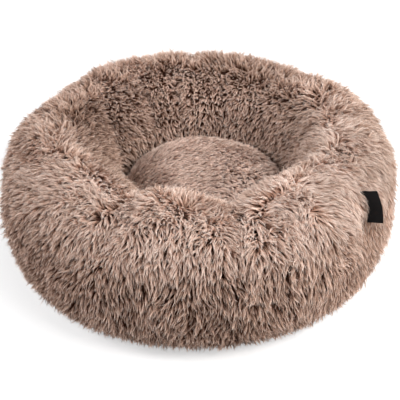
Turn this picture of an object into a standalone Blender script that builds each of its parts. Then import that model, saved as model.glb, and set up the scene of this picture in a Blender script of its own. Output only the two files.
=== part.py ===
"""Donut pet bed: a stuffed faux-fur ring, a loose cushion in its well, and a zip underneath.

Metres, +Z up. The origin is on the floor at the middle of the bed, and the front faces -Y.
"""
import math

import bmesh
import bpy
from mathutils import Vector

for old_object in list(bpy.data.objects):
    bpy.data.objects.remove(old_object, do_unlink=True)

# The bed as a whole
BED_RADIUS = 0.300
BED_HEIGHT = 0.213
RIM_CREST_RADIUS = 0.203
RIM_BULGE_HEIGHT = 0.098
WELL_RADIUS = 0.1285
WELL_SHIFT = 0.010
WELL_WAIST_HEIGHT = 0.098
WELL_FLARE = 0.010
UNDERSIDE_RADIUS = 0.250
OVAL_STRETCH = 0.004
OVAL_ANGLE = math.radians(48)
RIM_OUTER_ROUNDNESS = 2.2
RIM_INNER_ROUNDNESS = 1.9
RIM_FOOT_ROUNDNESS = 2.6

# Fabrics, pads and the gaps between them
PILE_DEPTH = 0.016
FABRIC_GAP = 0.0003
LINER_THICKNESS = 0.0008
LINING_THICKNESS = 0.001
BASE_CLOTH_THICKNESS = 0.0012
WADDING_THICKNESS = 0.0083
BINDING_THICKNESS = 0.0014
BINDING_DROP = 0.0004
GRIP_DOT_RADIUS = 0.005
GRIP_DOT_HEIGHT = 0.0008
GRIP_RING_SPACING = 0.080
GRIP_RINGS = 3
GRIP_DOTS_PER_RING = 6

# Folds and lobes of the rim
FOLD_DEPTH = 0.014
SEAM_ANGLE = math.radians(-28)

# The loose cushion
CUSHION_RADIUS = 0.1262
CUSHION_HEIGHT = 0.121
CUSHION_SEAM_HEIGHT = 0.050
CUSHION_BASE_RADIUS = 0.098
CUSHION_PILE_DEPTH = 0.010
CUSHION_CROWN_ROUNDNESS = 3.6
CUSHION_FOOT_ROUNDNESS = 2.4
CUSHION_DENT_DEPTH = 0.010

# The zip under the base, an arc round the bed's axis
ZIP_RADIUS = 0.200
ZIP_ARC_LENGTH = 0.300
ZIP_START_ANGLE = math.radians(45)
ZIP_SLOT_HALF_WIDTH = 0.008
ZIP_HEM_HEIGHT = 0.0062
ZIP_HEM_THICKNESS = 0.0012
TAPE_THICKNESS = 0.0006
TAPE_OVERLAP = 0.0016
ZIP_BEND_STEP = 0.012
TOOTH_PITCH = 0.0075
TOOTH_HALF_GAP = 0.0008
TOOTH_LENGTH = 0.0024
TOOTH_SPINE = 0.0008
TOOTH_HEIGHT = 0.002
STOP_LENGTH = 0.003
SLIDER_LENGTH = 0.012
SLIDER_HALF_WIDTH = 0.005
SLIDER_PLATE = 0.0011
SLIDER_WEB_HALF = 0.0005
SLIDER_GAP = 0.0004
SLIDER_EAR_THICKNESS = 0.001
SLIDER_EAR_LENGTH = 0.0026
PULL_PIN_RADIUS = 0.0005
PULL_PIN_CLEARANCE = 0.0003
PULL_EYE_WALL = 0.0006
PULL_EYE_DROP = 0.0003
PULL_LENGTH = 0.022
PULL_WIDTH = 0.006
PULL_THICKNESS = 0.0012

# The bare black side label, a folded ribbon sewn into the right-hand seam
LABEL_LENGTH = 0.052
LABEL_STAND = 0.012
LABEL_ROOT = 0.009
LABEL_LAYER = 0.0005
LABEL_MIDDLE_HEIGHT = 0.156
LABEL_LEAN = math.radians(-16)

# How finely round and soft forms are divided
RIM_STEPS = 48
ARC_STEPS = 4
INNER_FOOT_STEPS = 2
CUSHION_STEPS = 32
CUSHION_CROWN_STEPS = 7
ROUND_STEPS = 12
DOT_STEPS = 6
OVERRUN = 0.002

# A fold or lobe of the rim: its direction on the crest and at the well or foot, in degrees,
# its half width in degrees, its depth as a share of FOLD_DEPTH (negative swells outwards),
# and where it starts and ends as shares of the way from the outer foot to the inner foot.
RIM_FOLD_SHARES = (
    (152.0, 164.0, 8.0, 0.95, 0.42, 0.98),
    (152.0, 152.0, 5.0, 0.40, 0.04, 0.62),
    (180.0, 190.0, 9.0, -0.45, 0.30, 0.92),
    (34.0, 10.0, 8.0, 0.90, 0.42, 0.98),
    (-28.0, -28.0, 5.0, 0.40, 0.04, 0.62),
    (-78.0, -74.0, 8.0, 0.95, 0.36, 0.90),
    (-100.0, -102.0, 9.0, -0.35, 0.34, 0.92),
    (-54.0, -50.0, 10.0, -0.40, 0.34, 0.92),
    (-122.0, -124.0, 8.0, 0.65, 0.38, 0.95),
    (-146.0, -140.0, 10.0, -0.30, 0.30, 0.90),
    (56.0, 56.0, 7.0, 0.45, 0.25, 0.80),
    (84.0, 84.0, 14.0, -0.35, 0.25, 0.85),
    (112.0, 112.0, 7.0, 0.30, 0.25, 0.85),
    (130.0, 130.0, 8.0, -0.25, 0.20, 0.80),
    (6.0, 0.0, 12.0, -0.30, 0.20, 0.70),
)

# A dent or swelling of the cushion's top: direction in degrees, distance from the middle as a
# share of the radius, half width as a share of the radius, depth as a share of CUSHION_DENT_DEPTH.
CUSHION_DENT_SHARES = (
    (-62.0, 0.80, 0.26, 1.00),
    (200.0, 0.95, 0.30, 0.60),
    (20.0, 0.90, 0.30, 0.40),
    (110.0, 0.55, 0.40, -0.35),
)

# Heights that follow from the sizes above
BASE_CLOTH_LOW = GRIP_DOT_HEIGHT
BASE_CLOTH_TOP = BASE_CLOTH_LOW + BASE_CLOTH_THICKNESS
COVER_FOOT = BASE_CLOTH_TOP + FABRIC_GAP
WADDING_TOP = COVER_FOOT + WADDING_THICKNESS
LAYER_LOW = WADDING_TOP + FABRIC_GAP
LINING_TOP = LAYER_LOW + LINING_THICKNESS
LINER_LOW_TOP = LAYER_LOW + LINER_THICKNESS
RIM_LINER_FOOT = LINER_LOW_TOP + FABRIC_GAP
FILLING_FOOT = RIM_LINER_FOOT + LINER_THICKNESS + FABRIC_GAP
CUSHION_LOW = LINING_TOP + FABRIC_GAP
CUSHION_SEAM_Z = CUSHION_LOW + CUSHION_SEAM_HEIGHT
CUSHION_TOP_Z = CUSHION_LOW + CUSHION_HEIGHT
SEAM_HALF_GAP = LABEL_LAYER + 1.5 * FABRIC_GAP

parts = bpy.data.collections.new("donut_pet_bed")
cutters = bpy.data.collections.new("cutters")
bpy.context.scene.collection.children.link(parts)
bpy.context.scene.collection.children.link(cutters)


def material(name, colour, roughness, metallic=0.0):
    """A Principled material with one colour."""
    made = bpy.data.materials.new(name)
    made.use_nodes = True
    shader = made.node_tree.nodes["Principled BSDF"]
    shader.inputs["Base Color"].default_value = (*colour, 1.0)
    shader.inputs["Roughness"].default_value = roughness
    shader.inputs["Metallic"].default_value = metallic
    return made


TAUPE = (0.42, 0.27, 0.21)
TAUPE_LIGHT = (0.50, 0.33, 0.26)
CLOTH_GREY = (0.09, 0.08, 0.08)
LINER_WHITE = (0.70, 0.69, 0.67)
FIBRE_WHITE = (0.86, 0.86, 0.84)
TAPE_BROWN = (0.20, 0.13, 0.10)
METAL_GREY = (0.35, 0.33, 0.31)
LABEL_BLACK = (0.012, 0.011, 0.012)


def new_object(name, mesh, made_material, smooth=True):
    """Put a mesh in the parts collection under its node's name."""
    mesh.materials.append(made_material)
    if smooth:
        mesh.shade_smooth()
        mesh.set_sharp_from_angle(angle=math.radians(50))
    piece = bpy.data.objects.new(name, mesh)
    parts.objects.link(piece)
    return piece


def mesh_from(name, bm):
    """Turn a bmesh into a mesh with all faces pointing out."""
    bm.normal_update()
    bmesh.ops.recalc_face_normals(bm, faces=bm.faces)
    mesh = bpy.data.meshes.new(name)
    bm.to_mesh(mesh)
    bm.free()
    return mesh


def make_cutter(name, bm):
    """A guide solid that cuts others and is not part of the bed."""
    cutter = bpy.data.objects.new(name, mesh_from(name, bm))
    cutter.hide_render = True
    cutter.display_type = "WIRE"
    cutters.objects.link(cutter)
    return cutter


def add_boolean(piece, tool, operation):
    """Cut or join a piece with another solid."""
    modifier = piece.modifiers.new(tool.name, "BOOLEAN")
    modifier.object = tool
    modifier.operation = operation
    modifier.solver = "EXACT"


def quarter_round(steps, roundness):
    """Shares (along, up) on a quarter of a superellipse, from (1, 0) to (0, 1)."""
    shares = []
    for step in range(steps + 1):
        turn = 0.5 * math.pi * step / steps
        along = max(math.cos(turn), 0.0) ** (2.0 / roundness)
        up = max(math.sin(turn), 0.0) ** (2.0 / roundness)
        shares.append((along, up))
    return shares


def hill(distance, half_width):
    """A smooth hill that is 1 in the middle."""
    return math.exp(-((distance / half_width) ** 2))


def turn_between(angle, centre):
    """The signed turn from centre to angle, in degrees."""
    return (angle - centre + 180.0) % 360.0 - 180.0


def rim_fold(azimuth, way):
    """How far the rim is drawn in at a direction and a share of the way round its section."""
    degrees = math.degrees(azimuth)
    depth = 0.0
    for crest_turn, end_turn, half_width, share, start, end in RIM_FOLD_SHARES:
        if start < way < end:
            across = (way - start) / (end - start)
            centre = crest_turn + (end_turn - crest_turn) * across
            envelope = 0.5 - 0.5 * math.cos(2.0 * math.pi * across)
            depth += share * envelope * hill(turn_between(degrees, centre), half_width)
    return depth * FOLD_DEPTH


def well_reach(azimuth, radius):
    """Distance from the bed's axis to a circle of this radius round the well's axis."""
    across = WELL_SHIFT * math.sin(azimuth)
    return WELL_SHIFT * math.cos(azimuth) + math.sqrt(radius ** 2 - across ** 2)


def plain_section(azimuth, inset, outer_foot, inner_foot):
    """The rim's section at one direction, as (radius, height), without its folds.

    It runs from the outer foot up the outside, over the crest, and down the well's wall.
    """
    reach = BED_RADIUS + OVAL_STRETCH * math.cos(2.0 * (azimuth - OVAL_ANGLE))
    outside = reach - inset
    wall = well_reach(azimuth, WELL_RADIUS + inset)
    top = BED_HEIGHT - inset
    section = []
    foot_width = outside - UNDERSIDE_RADIUS
    for along, up in reversed(quarter_round(ARC_STEPS, RIM_FOOT_ROUNDNESS)):
        height = RIM_BULGE_HEIGHT - (RIM_BULGE_HEIGHT - outer_foot) * up
        section.append((UNDERSIDE_RADIUS + foot_width * along, height))
    for along, up in quarter_round(ARC_STEPS, RIM_OUTER_ROUNDNESS)[1:]:
        radius = RIM_CREST_RADIUS + (outside - RIM_CREST_RADIUS) * along
        section.append((radius, RIM_BULGE_HEIGHT + (top - RIM_BULGE_HEIGHT) * up))
    for along, up in reversed(quarter_round(ARC_STEPS, RIM_INNER_ROUNDNESS)[:-1]):
        radius = RIM_CREST_RADIUS - (RIM_CREST_RADIUS - wall) * along
        section.append((radius, WELL_WAIST_HEIGHT + (top - WELL_WAIST_HEIGHT) * up))
    for along, up in quarter_round(INNER_FOOT_STEPS, RIM_FOOT_ROUNDNESS)[1:]:
        height = WELL_WAIST_HEIGHT - (WELL_WAIST_HEIGHT - inner_foot) * up
        section.append((wall + WELL_FLARE * (1.0 - along), height))
    return section


def rim_section(azimuth, inset, outer_foot, inner_foot):
    """The rim's section with its folds, as points in space."""
    outline = plain_section(azimuth, 0.0, COVER_FOOT, CUSHION_LOW)
    section = plain_section(azimuth, inset, outer_foot, inner_foot)
    points = []
    for index, (radius, height) in enumerate(section):
        outward = Vector((outline[index][0] - RIM_CREST_RADIUS, outline[index][1] - RIM_BULGE_HEIGHT))
        outward.normalize()
        depth = rim_fold(azimuth, index / (len(section) - 1))
        radius -= outward.x * depth
        height -= outward.y * depth
        points.append(Vector((radius * math.cos(azimuth), radius * math.sin(azimuth), height)))
    return points


def loft(bm, loops, close_ring, close_section, turned=range(0)):
    """Bridge a row of like sections with triangles; returns the rows of vertices.

    Nested surfaces split their squares along the same diagonal, so that they never cross.
    The section's stretch that runs backwards is named in turned, and is split the other way.
    """
    rows = [[bm.verts.new(point) for point in loop] for loop in loops]
    pairs = list(zip(rows, rows[1:]))
    if close_ring:
        pairs.append((rows[-1], rows[0]))
    for first, second in pairs:
        count = len(first)
        last = count if close_section else count - 1
        for index in range(last):
            after = (index + 1) % count
            if index in turned:
                bm.faces.new((first[index], second[index], first[after]))
                bm.faces.new((second[index], second[after], first[after]))
            else:
                bm.faces.new((first[index], second[index], second[after]))
                bm.faces.new((first[index], second[after], first[after]))
    return rows


def shell_section(azimuth, outer, inner):
    """A closed section between two surfaces of the rim: outer way out, inner way back."""
    return rim_section(azimuth, *outer) + list(reversed(rim_section(azimuth, *inner)))


def open_seam(edge_loop, next_loop, inward):
    """Draw a panel's edge back from its seam, along the facets that lead to it."""
    for point, neighbour in zip(edge_loop, next_loop):
        way = neighbour - point
        point += way * (SEAM_HALF_GAP / way.dot(inward))


def rim_panel(name, start, end, made_material):
    """Half of the fur cover, between two seams."""
    outer = (0.0, COVER_FOOT, CUSHION_LOW)
    inner = (PILE_DEPTH, WADDING_TOP, CUSHION_LOW)
    steps = RIM_STEPS // 2
    loops = []
    for step in range(steps + 1):
        azimuth = start + (end - start) * step / steps
        loops.append(shell_section(azimuth, outer, inner))
    open_seam(loops[0], loops[1], Vector((-math.sin(start), math.cos(start), 0.0)))
    open_seam(loops[-1], loops[-2], Vector((math.sin(end), -math.cos(end), 0.0)))
    bm = bmesh.new()
    count = len(loops[0])
    rows = loft(bm, loops, close_ring=False, close_section=True, turned=range(count // 2, count))
    for row in (rows[0], rows[-1]):
        for index in range(count // 2 - 1):
            bm.faces.new((row[index], row[index + 1], row[count - 2 - index], row[count - 1 - index]))
    return new_object(name, mesh_from(name, bm), made_material)


def ring_angles():
    """Directions round the rim, starting at the right-hand seam."""
    return [SEAM_ANGLE + 2.0 * math.pi * step / RIM_STEPS for step in range(RIM_STEPS)]


def rim_liner_top(made_material):
    """The white inner bag of the rim, open underneath."""
    outer = (PILE_DEPTH + FABRIC_GAP, RIM_LINER_FOOT, RIM_LINER_FOOT)
    inner = (PILE_DEPTH + FABRIC_GAP + LINER_THICKNESS, RIM_LINER_FOOT + LINER_THICKNESS, RIM_LINER_FOOT)
    loops = [shell_section(azimuth, outer, inner) for azimuth in ring_angles()]
    count = len(loops[0])
    bm = bmesh.new()
    loft(bm, loops, close_ring=True, close_section=True, turned=range(count // 2, count))
    return new_object("rim_liner_top", mesh_from("rim_liner_top", bm), made_material)


def rim_filling(made_material):
    """The fibre ring inside the liner."""
    surface = (PILE_DEPTH + LINER_THICKNESS + 2.0 * FABRIC_GAP, FILLING_FOOT, FILLING_FOOT)
    loops = [rim_section(azimuth, *surface) for azimuth in ring_angles()]
    bm = bmesh.new()
    loft(bm, loops, close_ring=True, close_section=True)
    return new_object("rim_filling", mesh_from("rim_filling", bm), made_material)


def round_reach(azimuth, radius, in_well):
    """Distance from the bed's axis to a circle round it, or round the well's axis."""
    return well_reach(azimuth, radius) if in_well else radius


def flat_ring(name, low, high, outer_radius, inner_radius, hole_in_well, made_material):
    """A flat ring whose hole may lie round the well's axis."""
    loops = []
    for azimuth in ring_angles():
        inner = round_reach(azimuth, inner_radius, hole_in_well)
        loop = []
        for radius, height in ((inner, low), (outer_radius, low), (outer_radius, high), (inner, high)):
            loop.append(Vector((radius * math.cos(azimuth), radius * math.sin(azimuth), height)))
        loops.append(loop)
    bm = bmesh.new()
    loft(bm, loops, close_ring=True, close_section=True)
    return new_object(name, mesh_from(name, bm), made_material, smooth=False)


def round_plate(name, low, high, radius, in_well, made_material):
    """A flat round plate, divided like the rim above it."""
    loops = []
    for height in (low, high):
        loop = []
        for azimuth in ring_angles():
            reach = round_reach(azimuth, radius, in_well)
            loop.append(Vector((reach * math.cos(azimuth), reach * math.sin(azimuth), height)))
        loops.append(loop)
    bm = bmesh.new()
    rows = loft(bm, loops, close_ring=False, close_section=True)
    for row in rows:
        bm.faces.new(row)
    return new_object(name, mesh_from(name, bm), made_material, smooth=False)


class ZipRoute:
    """The zip's arc on the underside, and the heights and widths of what lies along it."""

    def __init__(self, length, arc_radius, start_angle, cloth_low):
        self.length = length
        self.arc_radius = arc_radius
        self.start_angle = start_angle
        self.cloth_low = cloth_low
        self.hem_top = cloth_low + ZIP_HEM_HEIGHT
        self.tape_low = self.hem_top + FABRIC_GAP
        self.tape_middle = self.tape_low + 0.5 * TAPE_THICKNESS
        self.tooth_low = self.tape_middle - 0.5 * TOOTH_HEIGHT
        self.tooth_top = self.tape_middle + 0.5 * TOOTH_HEIGHT
        self.plate_low_top = self.tooth_low - SLIDER_GAP
        self.plate_low = self.plate_low_top - SLIDER_PLATE
        self.plate_high = self.tooth_top + SLIDER_GAP
        self.slider_top = self.plate_high + SLIDER_PLATE
        self.eye_radius = PULL_PIN_RADIUS + PULL_PIN_CLEARANCE + PULL_EYE_WALL
        self.pin_z = self.plate_low - PULL_EYE_DROP - self.eye_radius
        self.tape_inner = TOOTH_HALF_GAP + TOOTH_LENGTH + TOOTH_SPINE + FABRIC_GAP
        self.tape_outer = ZIP_SLOT_HALF_WIDTH + ZIP_HEM_THICKNESS + TAPE_OVERLAP
        self.channel_half = self.tape_outer + FABRIC_GAP
        self.closed_end = -STOP_LENGTH - 2.0 * FABRIC_GAP
        pull_reach = length - 0.5 * SLIDER_LENGTH + PULL_LENGTH
        self.open_end = max(length + STOP_LENGTH, pull_reach) + 2.0 * FABRIC_GAP

    def place(self, point):
        """From zip coordinates (along, across, up) to the bed's."""
        along, across, up = point
        angle = self.start_angle + along / self.arc_radius
        radius = self.arc_radius - across
        return Vector((radius * math.cos(angle), radius * math.sin(angle), up))

    def bend(self, bm):
        """Move every vertex of a straight solid onto the route."""
        for vertex in bm.verts:
            vertex.co = self.place(vertex.co)
        return bm

    def steps(self, length):
        """How many straight steps a length needs on this route."""
        return max(1, math.ceil(length / ZIP_BEND_STEP))


def bar(bm, route, start, end, across_low, across_high, low, high):
    """A bar along a zip's route, in zip coordinates."""
    steps = route.steps(end - start)
    loops = []
    for step in range(steps + 1):
        along = start + (end - start) * step / steps
        loops.append([
            Vector((along, across_low, low)),
            Vector((along, across_high, low)),
            Vector((along, across_high, high)),
            Vector((along, across_low, high)),
        ])
    rows = loft(bm, loops, close_ring=False, close_section=True)
    bm.faces.new(rows[0])
    bm.faces.new(rows[-1])


def route_bar(name, route, start, end, across_low, across_high, low, high):
    """A bar bent onto its zip's route, as a cutter."""
    bm = bmesh.new()
    bar(bm, route, start, end, across_low, across_high, low, high)
    return make_cutter(name, route.bend(bm))


def open_for_zip(cloth, route):
    """Turn up a hem round the zip's slot in the base cloth, and open the slot.

    The slot is longer at the open end, so that the pull still lies in it there.
    """
    hem_half = ZIP_SLOT_HALF_WIDTH + ZIP_HEM_THICKNESS
    hem = route_bar(
        "zip_hem", route, route.closed_end - ZIP_HEM_THICKNESS, route.open_end + ZIP_HEM_THICKNESS,
        -hem_half, hem_half, route.cloth_low, route.hem_top)
    slot = route_bar(
        "zip_slot", route, route.closed_end, route.open_end,
        -ZIP_SLOT_HALF_WIDTH, ZIP_SLOT_HALF_WIDTH, route.cloth_low - OVERRUN, route.hem_top + OVERRUN)
    add_boolean(cloth, hem, "UNION")
    add_boolean(cloth, slot, "DIFFERENCE")


def clear_for_zip(pad, route, low, high):
    """Leave room for the zip in the wadding above it."""
    margin = 2.0 * ZIP_HEM_THICKNESS + 2.0 * FABRIC_GAP
    channel = route_bar(
        "zip_channel", route, route.closed_end - margin, route.open_end + margin,
        -route.channel_half, route.channel_half, low, high)
    add_boolean(pad, channel, "DIFFERENCE")


def zip_tape(name, route, side, made_material):
    """One of the two cloth tapes that carry the teeth."""
    across = sorted((side * route.tape_inner, side * route.tape_outer))
    start = route.closed_end - ZIP_HEM_THICKNESS
    end = route.open_end + ZIP_HEM_THICKNESS
    bm = bmesh.new()
    bar(bm, route, start, end, *across, route.tape_low, route.tape_low + TAPE_THICKNESS)
    return new_object(name, mesh_from(name, route.bend(bm)), made_material, smooth=False)


def zip_teeth(name, route, side, made_material):
    """One row of teeth on its spine, a comb whose teeth point to the other row."""
    back = TOOTH_HALF_GAP + TOOTH_LENGTH + TOOTH_SPINE
    root = TOOTH_HALF_GAP + TOOTH_LENGTH
    count = round(route.length / TOOTH_PITCH)
    pitch = route.length / count
    outline = []
    for tooth in range(count):
        start = tooth * pitch
        if tooth:
            outline.append((start, root))
        outline.append((start, TOOTH_HALF_GAP))
        outline.append((start + 0.5 * pitch, TOOTH_HALF_GAP))
        outline.append((start + 0.5 * pitch, root))
    outline.append((route.length, root))
    outline.append((route.length, back))
    outline.extend((tooth * pitch, back) for tooth in reversed(range(count)))
    bm = bmesh.new()
    lower = [bm.verts.new((along, side * across, route.tooth_low)) for along, across in outline]
    upper = [bm.verts.new((along, side * across, route.tooth_top)) for along, across in outline]
    bm.faces.new(lower)
    bm.faces.new(upper)
    for index in range(len(outline)):
        after = (index + 1) % len(outline)
        bm.faces.new((lower[index], lower[after], upper[after], upper[index]))
    return new_object(name, mesh_from(name, route.bend(bm)), made_material, smooth=False)


def zip_stop(name, route, start, made_material):
    """A metal stop across both rows at one end."""
    half = TOOTH_HALF_GAP + TOOTH_LENGTH + TOOTH_SPINE
    bm = bmesh.new()
    bar(bm, route, start, start + STOP_LENGTH, -half, half, route.tooth_low, route.tooth_top)
    return new_object(name, mesh_from(name, route.bend(bm)), made_material, smooth=False)


def rounded_block(start, end, half_width, low, high, corner):
    """A flat block with rounded corners, along X."""
    bm = bmesh.new()
    bmesh.ops.create_cube(bm, size=1.0)
    for vertex in bm.verts:
        vertex.co.x = start if vertex.co.x < 0.0 else end
        vertex.co.y = -half_width if vertex.co.y < 0.0 else half_width
        vertex.co.z = low if vertex.co.z < 0.0 else high
    upright = [edge for edge in bm.edges if edge.verts[0].co.z != edge.verts[1].co.z]
    bmesh.ops.bevel(bm, geom=upright, offset=corner, segments=2, affect="EDGES")
    return bm


def zip_slider(name, route, made_material):
    """Two plates joined by a web that runs between the rows, with two ears and their pin below."""
    half = SLIDER_HALF_WIDTH
    end = SLIDER_LENGTH
    upper = rounded_block(0.0, end, half, route.plate_high, route.slider_top, 0.4 * half)
    top = new_object(name, mesh_from(name, route.bend(upper)), made_material, smooth=False)
    lower = rounded_block(0.0, end, half, route.plate_low, route.plate_low_top, 0.4 * half)
    add_boolean(top, make_cutter(name + "_lower_plate", route.bend(lower)), "UNION")
    sink = 0.5 * SLIDER_PLATE
    web = route_bar(
        name + "_web", route, sink, end - sink, -SLIDER_WEB_HALF, SLIDER_WEB_HALF,
        route.plate_low_top - sink, route.plate_high + sink)
    add_boolean(top, web, "UNION")
    ear_gap = 0.5 * PULL_WIDTH - SLIDER_EAR_THICKNESS
    for side in (-1.0, 1.0):
        across = sorted((side * ear_gap, side * (ear_gap + SLIDER_EAR_THICKNESS)))
        ear = route_bar(
            name + ("_left_ear" if side < 0.0 else "_right_ear"), route,
            0.5 * (end - SLIDER_EAR_LENGTH), 0.5 * (end + SLIDER_EAR_LENGTH), *across,
            route.pin_z - PULL_PIN_RADIUS - 0.5 * PULL_PIN_CLEARANCE, route.plate_low + sink)
        add_boolean(top, ear, "UNION")
    pin = bmesh.new()
    made = bmesh.ops.create_cone(
        pin, cap_ends=True, segments=ROUND_STEPS, radius1=PULL_PIN_RADIUS, radius2=PULL_PIN_RADIUS,
        depth=2.0 * ear_gap + SLIDER_EAR_THICKNESS)
    for vertex in made["verts"]:
        along, across, up = vertex.co
        vertex.co = Vector((0.5 * end + along, up, route.pin_z + across))
    add_boolean(top, make_cutter(name + "_pin", route.bend(pin)), "UNION")
    return top


def zip_pull(name, route, made_material):
    """The tab that hangs on the slider's pin: an eye between the ears, and a flat tab."""
    half_eye = 0.5 * PULL_WIDTH - SLIDER_EAR_THICKNESS - PULL_PIN_CLEARANCE
    bm = bmesh.new()
    made = bmesh.ops.create_cone(
        bm, cap_ends=True, segments=ROUND_STEPS, radius1=route.eye_radius, radius2=route.eye_radius,
        depth=2.0 * half_eye)
    for vertex in made["verts"]:
        along, across, up = vertex.co
        vertex.co = Vector((along, up, across))
    eye = new_object(name, mesh_from(name, bm), made_material, smooth=False)
    reach = 0.5 * SLIDER_EAR_LENGTH + route.eye_radius
    half_tab = 0.5 * PULL_THICKNESS
    tab = rounded_block(reach, PULL_LENGTH, 0.5 * PULL_WIDTH, -half_tab, half_tab, 0.3 * PULL_WIDTH)
    half_neck = 0.9 * half_tab
    neck = rounded_block(
        0.0, reach + 0.4 * PULL_WIDTH, 0.9 * half_eye, -half_neck, half_neck, 0.2 * half_eye)
    hole = bmesh.new()
    bore = PULL_PIN_RADIUS + PULL_PIN_CLEARANCE
    bmesh.ops.create_cone(
        hole, cap_ends=True, segments=ROUND_STEPS, radius1=bore, radius2=bore, depth=2.0 * PULL_WIDTH)
    for vertex in hole.verts:
        along, across, up = vertex.co
        vertex.co = Vector((along, up, across))
    for tool_name, tool_mesh, operation in (
            ("neck", neck, "UNION"), ("tab", tab, "UNION"), ("hole", hole, "DIFFERENCE")):
        tool = make_cutter(name + "_" + tool_name, tool_mesh)
        tool.parent = eye
        add_boolean(eye, tool, operation)
    middle = 0.5 * SLIDER_LENGTH
    eye.location = route.place((middle, 0.0, route.pin_z))
    eye.rotation_euler.z = route.start_angle + middle / route.arc_radius + 0.5 * math.pi
    return eye


def make_zip(route, made_tape, made_metal):
    """All the pieces of the zip."""
    zip_tape("zip_tape_outer", route, -1.0, made_tape)
    zip_tape("zip_tape_inner", route, 1.0, made_tape)
    zip_teeth("zip_teeth_outer", route, -1.0, made_metal)
    zip_teeth("zip_teeth_inner", route, 1.0, made_metal)
    zip_stop("zip_closed_stop", route, -STOP_LENGTH - FABRIC_GAP, made_metal)
    zip_stop("zip_open_stop", route, route.length + FABRIC_GAP, made_metal)
    zip_slider("zip_slider", route, made_metal)
    zip_pull("zip_pull", route, made_metal)


def grip_dot_centres():
    """Places of the moulded grip dots: one in the middle, and rings round it."""
    centres = [(0.0, 0.0)]
    for ring in range(1, GRIP_RINGS + 1):
        count = ring * GRIP_DOTS_PER_RING
        for step in range(count):
            angle = 2.0 * math.pi * step / count
            radius = ring * GRIP_RING_SPACING
            centres.append((radius * math.cos(angle), radius * math.sin(angle)))
    return centres


def base_cloth(route, made_material):
    """The coarse woven underside with its grip dots and the turned-up hem of the zip's slot."""
    radius = UNDERSIDE_RADIUS + 0.5 * PILE_DEPTH
    cloth = round_plate("base_cloth", BASE_CLOTH_LOW, BASE_CLOTH_TOP, radius, False, made_material)
    dots = bmesh.new()
    dot_depth = BASE_CLOTH_LOW + 0.5 * BASE_CLOTH_THICKNESS
    for centre in grip_dot_centres():
        made = bmesh.ops.create_cone(
            dots, cap_ends=True, segments=DOT_STEPS, radius1=GRIP_DOT_RADIUS,
            radius2=GRIP_DOT_RADIUS, depth=dot_depth)
        bmesh.ops.translate(dots, verts=made["verts"], vec=(*centre, 0.5 * dot_depth))
    add_boolean(cloth, make_cutter("grip_dots", dots), "UNION")
    open_for_zip(cloth, route)
    return cloth


def base_pads(route, made_wadding, made_binding, made_lining, made_liner):
    """The wadding, the well's lining, the liner's floor and the edge binding."""
    cloth_radius = UNDERSIDE_RADIUS + 0.5 * PILE_DEPTH
    wadding_radius = UNDERSIDE_RADIUS - FABRIC_GAP
    wadding = round_plate("base_wadding", COVER_FOOT, WADDING_TOP, wadding_radius, False, made_wadding)
    clear_for_zip(wadding, route, COVER_FOOT - OVERRUN, WADDING_TOP + OVERRUN)
    lining_radius = WELL_RADIUS + WELL_FLARE + PILE_DEPTH
    round_plate("well_lining", LAYER_LOW, LINING_TOP, lining_radius, True, made_lining)
    flat_ring(
        "rim_liner_floor", LAYER_LOW, LINER_LOW_TOP, UNDERSIDE_RADIUS,
        lining_radius + FABRIC_GAP, True, made_liner)
    flat_ring(
        "base_binding", BASE_CLOTH_LOW - BINDING_DROP, BASE_CLOTH_TOP,
        cloth_radius + FABRIC_GAP + BINDING_THICKNESS, cloth_radius + FABRIC_GAP, False, made_binding)


def cushion_dent(azimuth, share):
    """How far the cushion's top is pressed down at a direction and a share of its radius."""
    here = Vector((share * math.cos(azimuth), share * math.sin(azimuth)))
    depth = 0.0
    for degrees, distance, half_width, amount in CUSHION_DENT_SHARES:
        angle = math.radians(degrees)
        middle = Vector((distance * math.cos(angle), distance * math.sin(angle)))
        depth += amount * hill((here - middle).length, half_width)
    return depth * CUSHION_DENT_DEPTH


def cushion_top_rows(azimuth, inset):
    """The cushion's crown at one direction, from its seam to just outside the middle."""
    radius = CUSHION_RADIUS - inset
    rise = CUSHION_TOP_Z - CUSHION_SEAM_Z - inset
    points = []
    for along, up in quarter_round(CUSHION_CROWN_STEPS, CUSHION_CROWN_ROUNDNESS)[:-1]:
        share = along
        height = CUSHION_SEAM_Z + rise * up - cushion_dent(azimuth, share) * up
        reach = radius * along
        points.append(Vector((
            WELL_SHIFT + reach * math.cos(azimuth), reach * math.sin(azimuth), height)))
    return points


def cushion_foot_rows(azimuth, inset, low, seam_z):
    """The cushion's drawn-in underside at one direction, from its flat base up to its seam."""
    radius = CUSHION_RADIUS - inset
    base = CUSHION_BASE_RADIUS
    points = []
    for along, up in reversed(quarter_round(ARC_STEPS, CUSHION_FOOT_ROUNDNESS)):
        reach = base + (radius - base) * along
        height = seam_z - (seam_z - low) * up
        points.append(Vector((
            WELL_SHIFT + reach * math.cos(azimuth), reach * math.sin(azimuth), height)))
    return points


def cushion_angles():
    """Directions round the cushion."""
    return [2.0 * math.pi * step / CUSHION_STEPS for step in range(CUSHION_STEPS)]


def close_with_fan(bm, rows, column, height):
    """Close one edge of a ring of rows with a fan round a middle vertex."""
    middle = bm.verts.new((WELL_SHIFT, 0.0, height))
    for first, second in zip(rows, rows[1:] + rows[:1]):
        bm.faces.new((first[column], second[column], middle))


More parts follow.
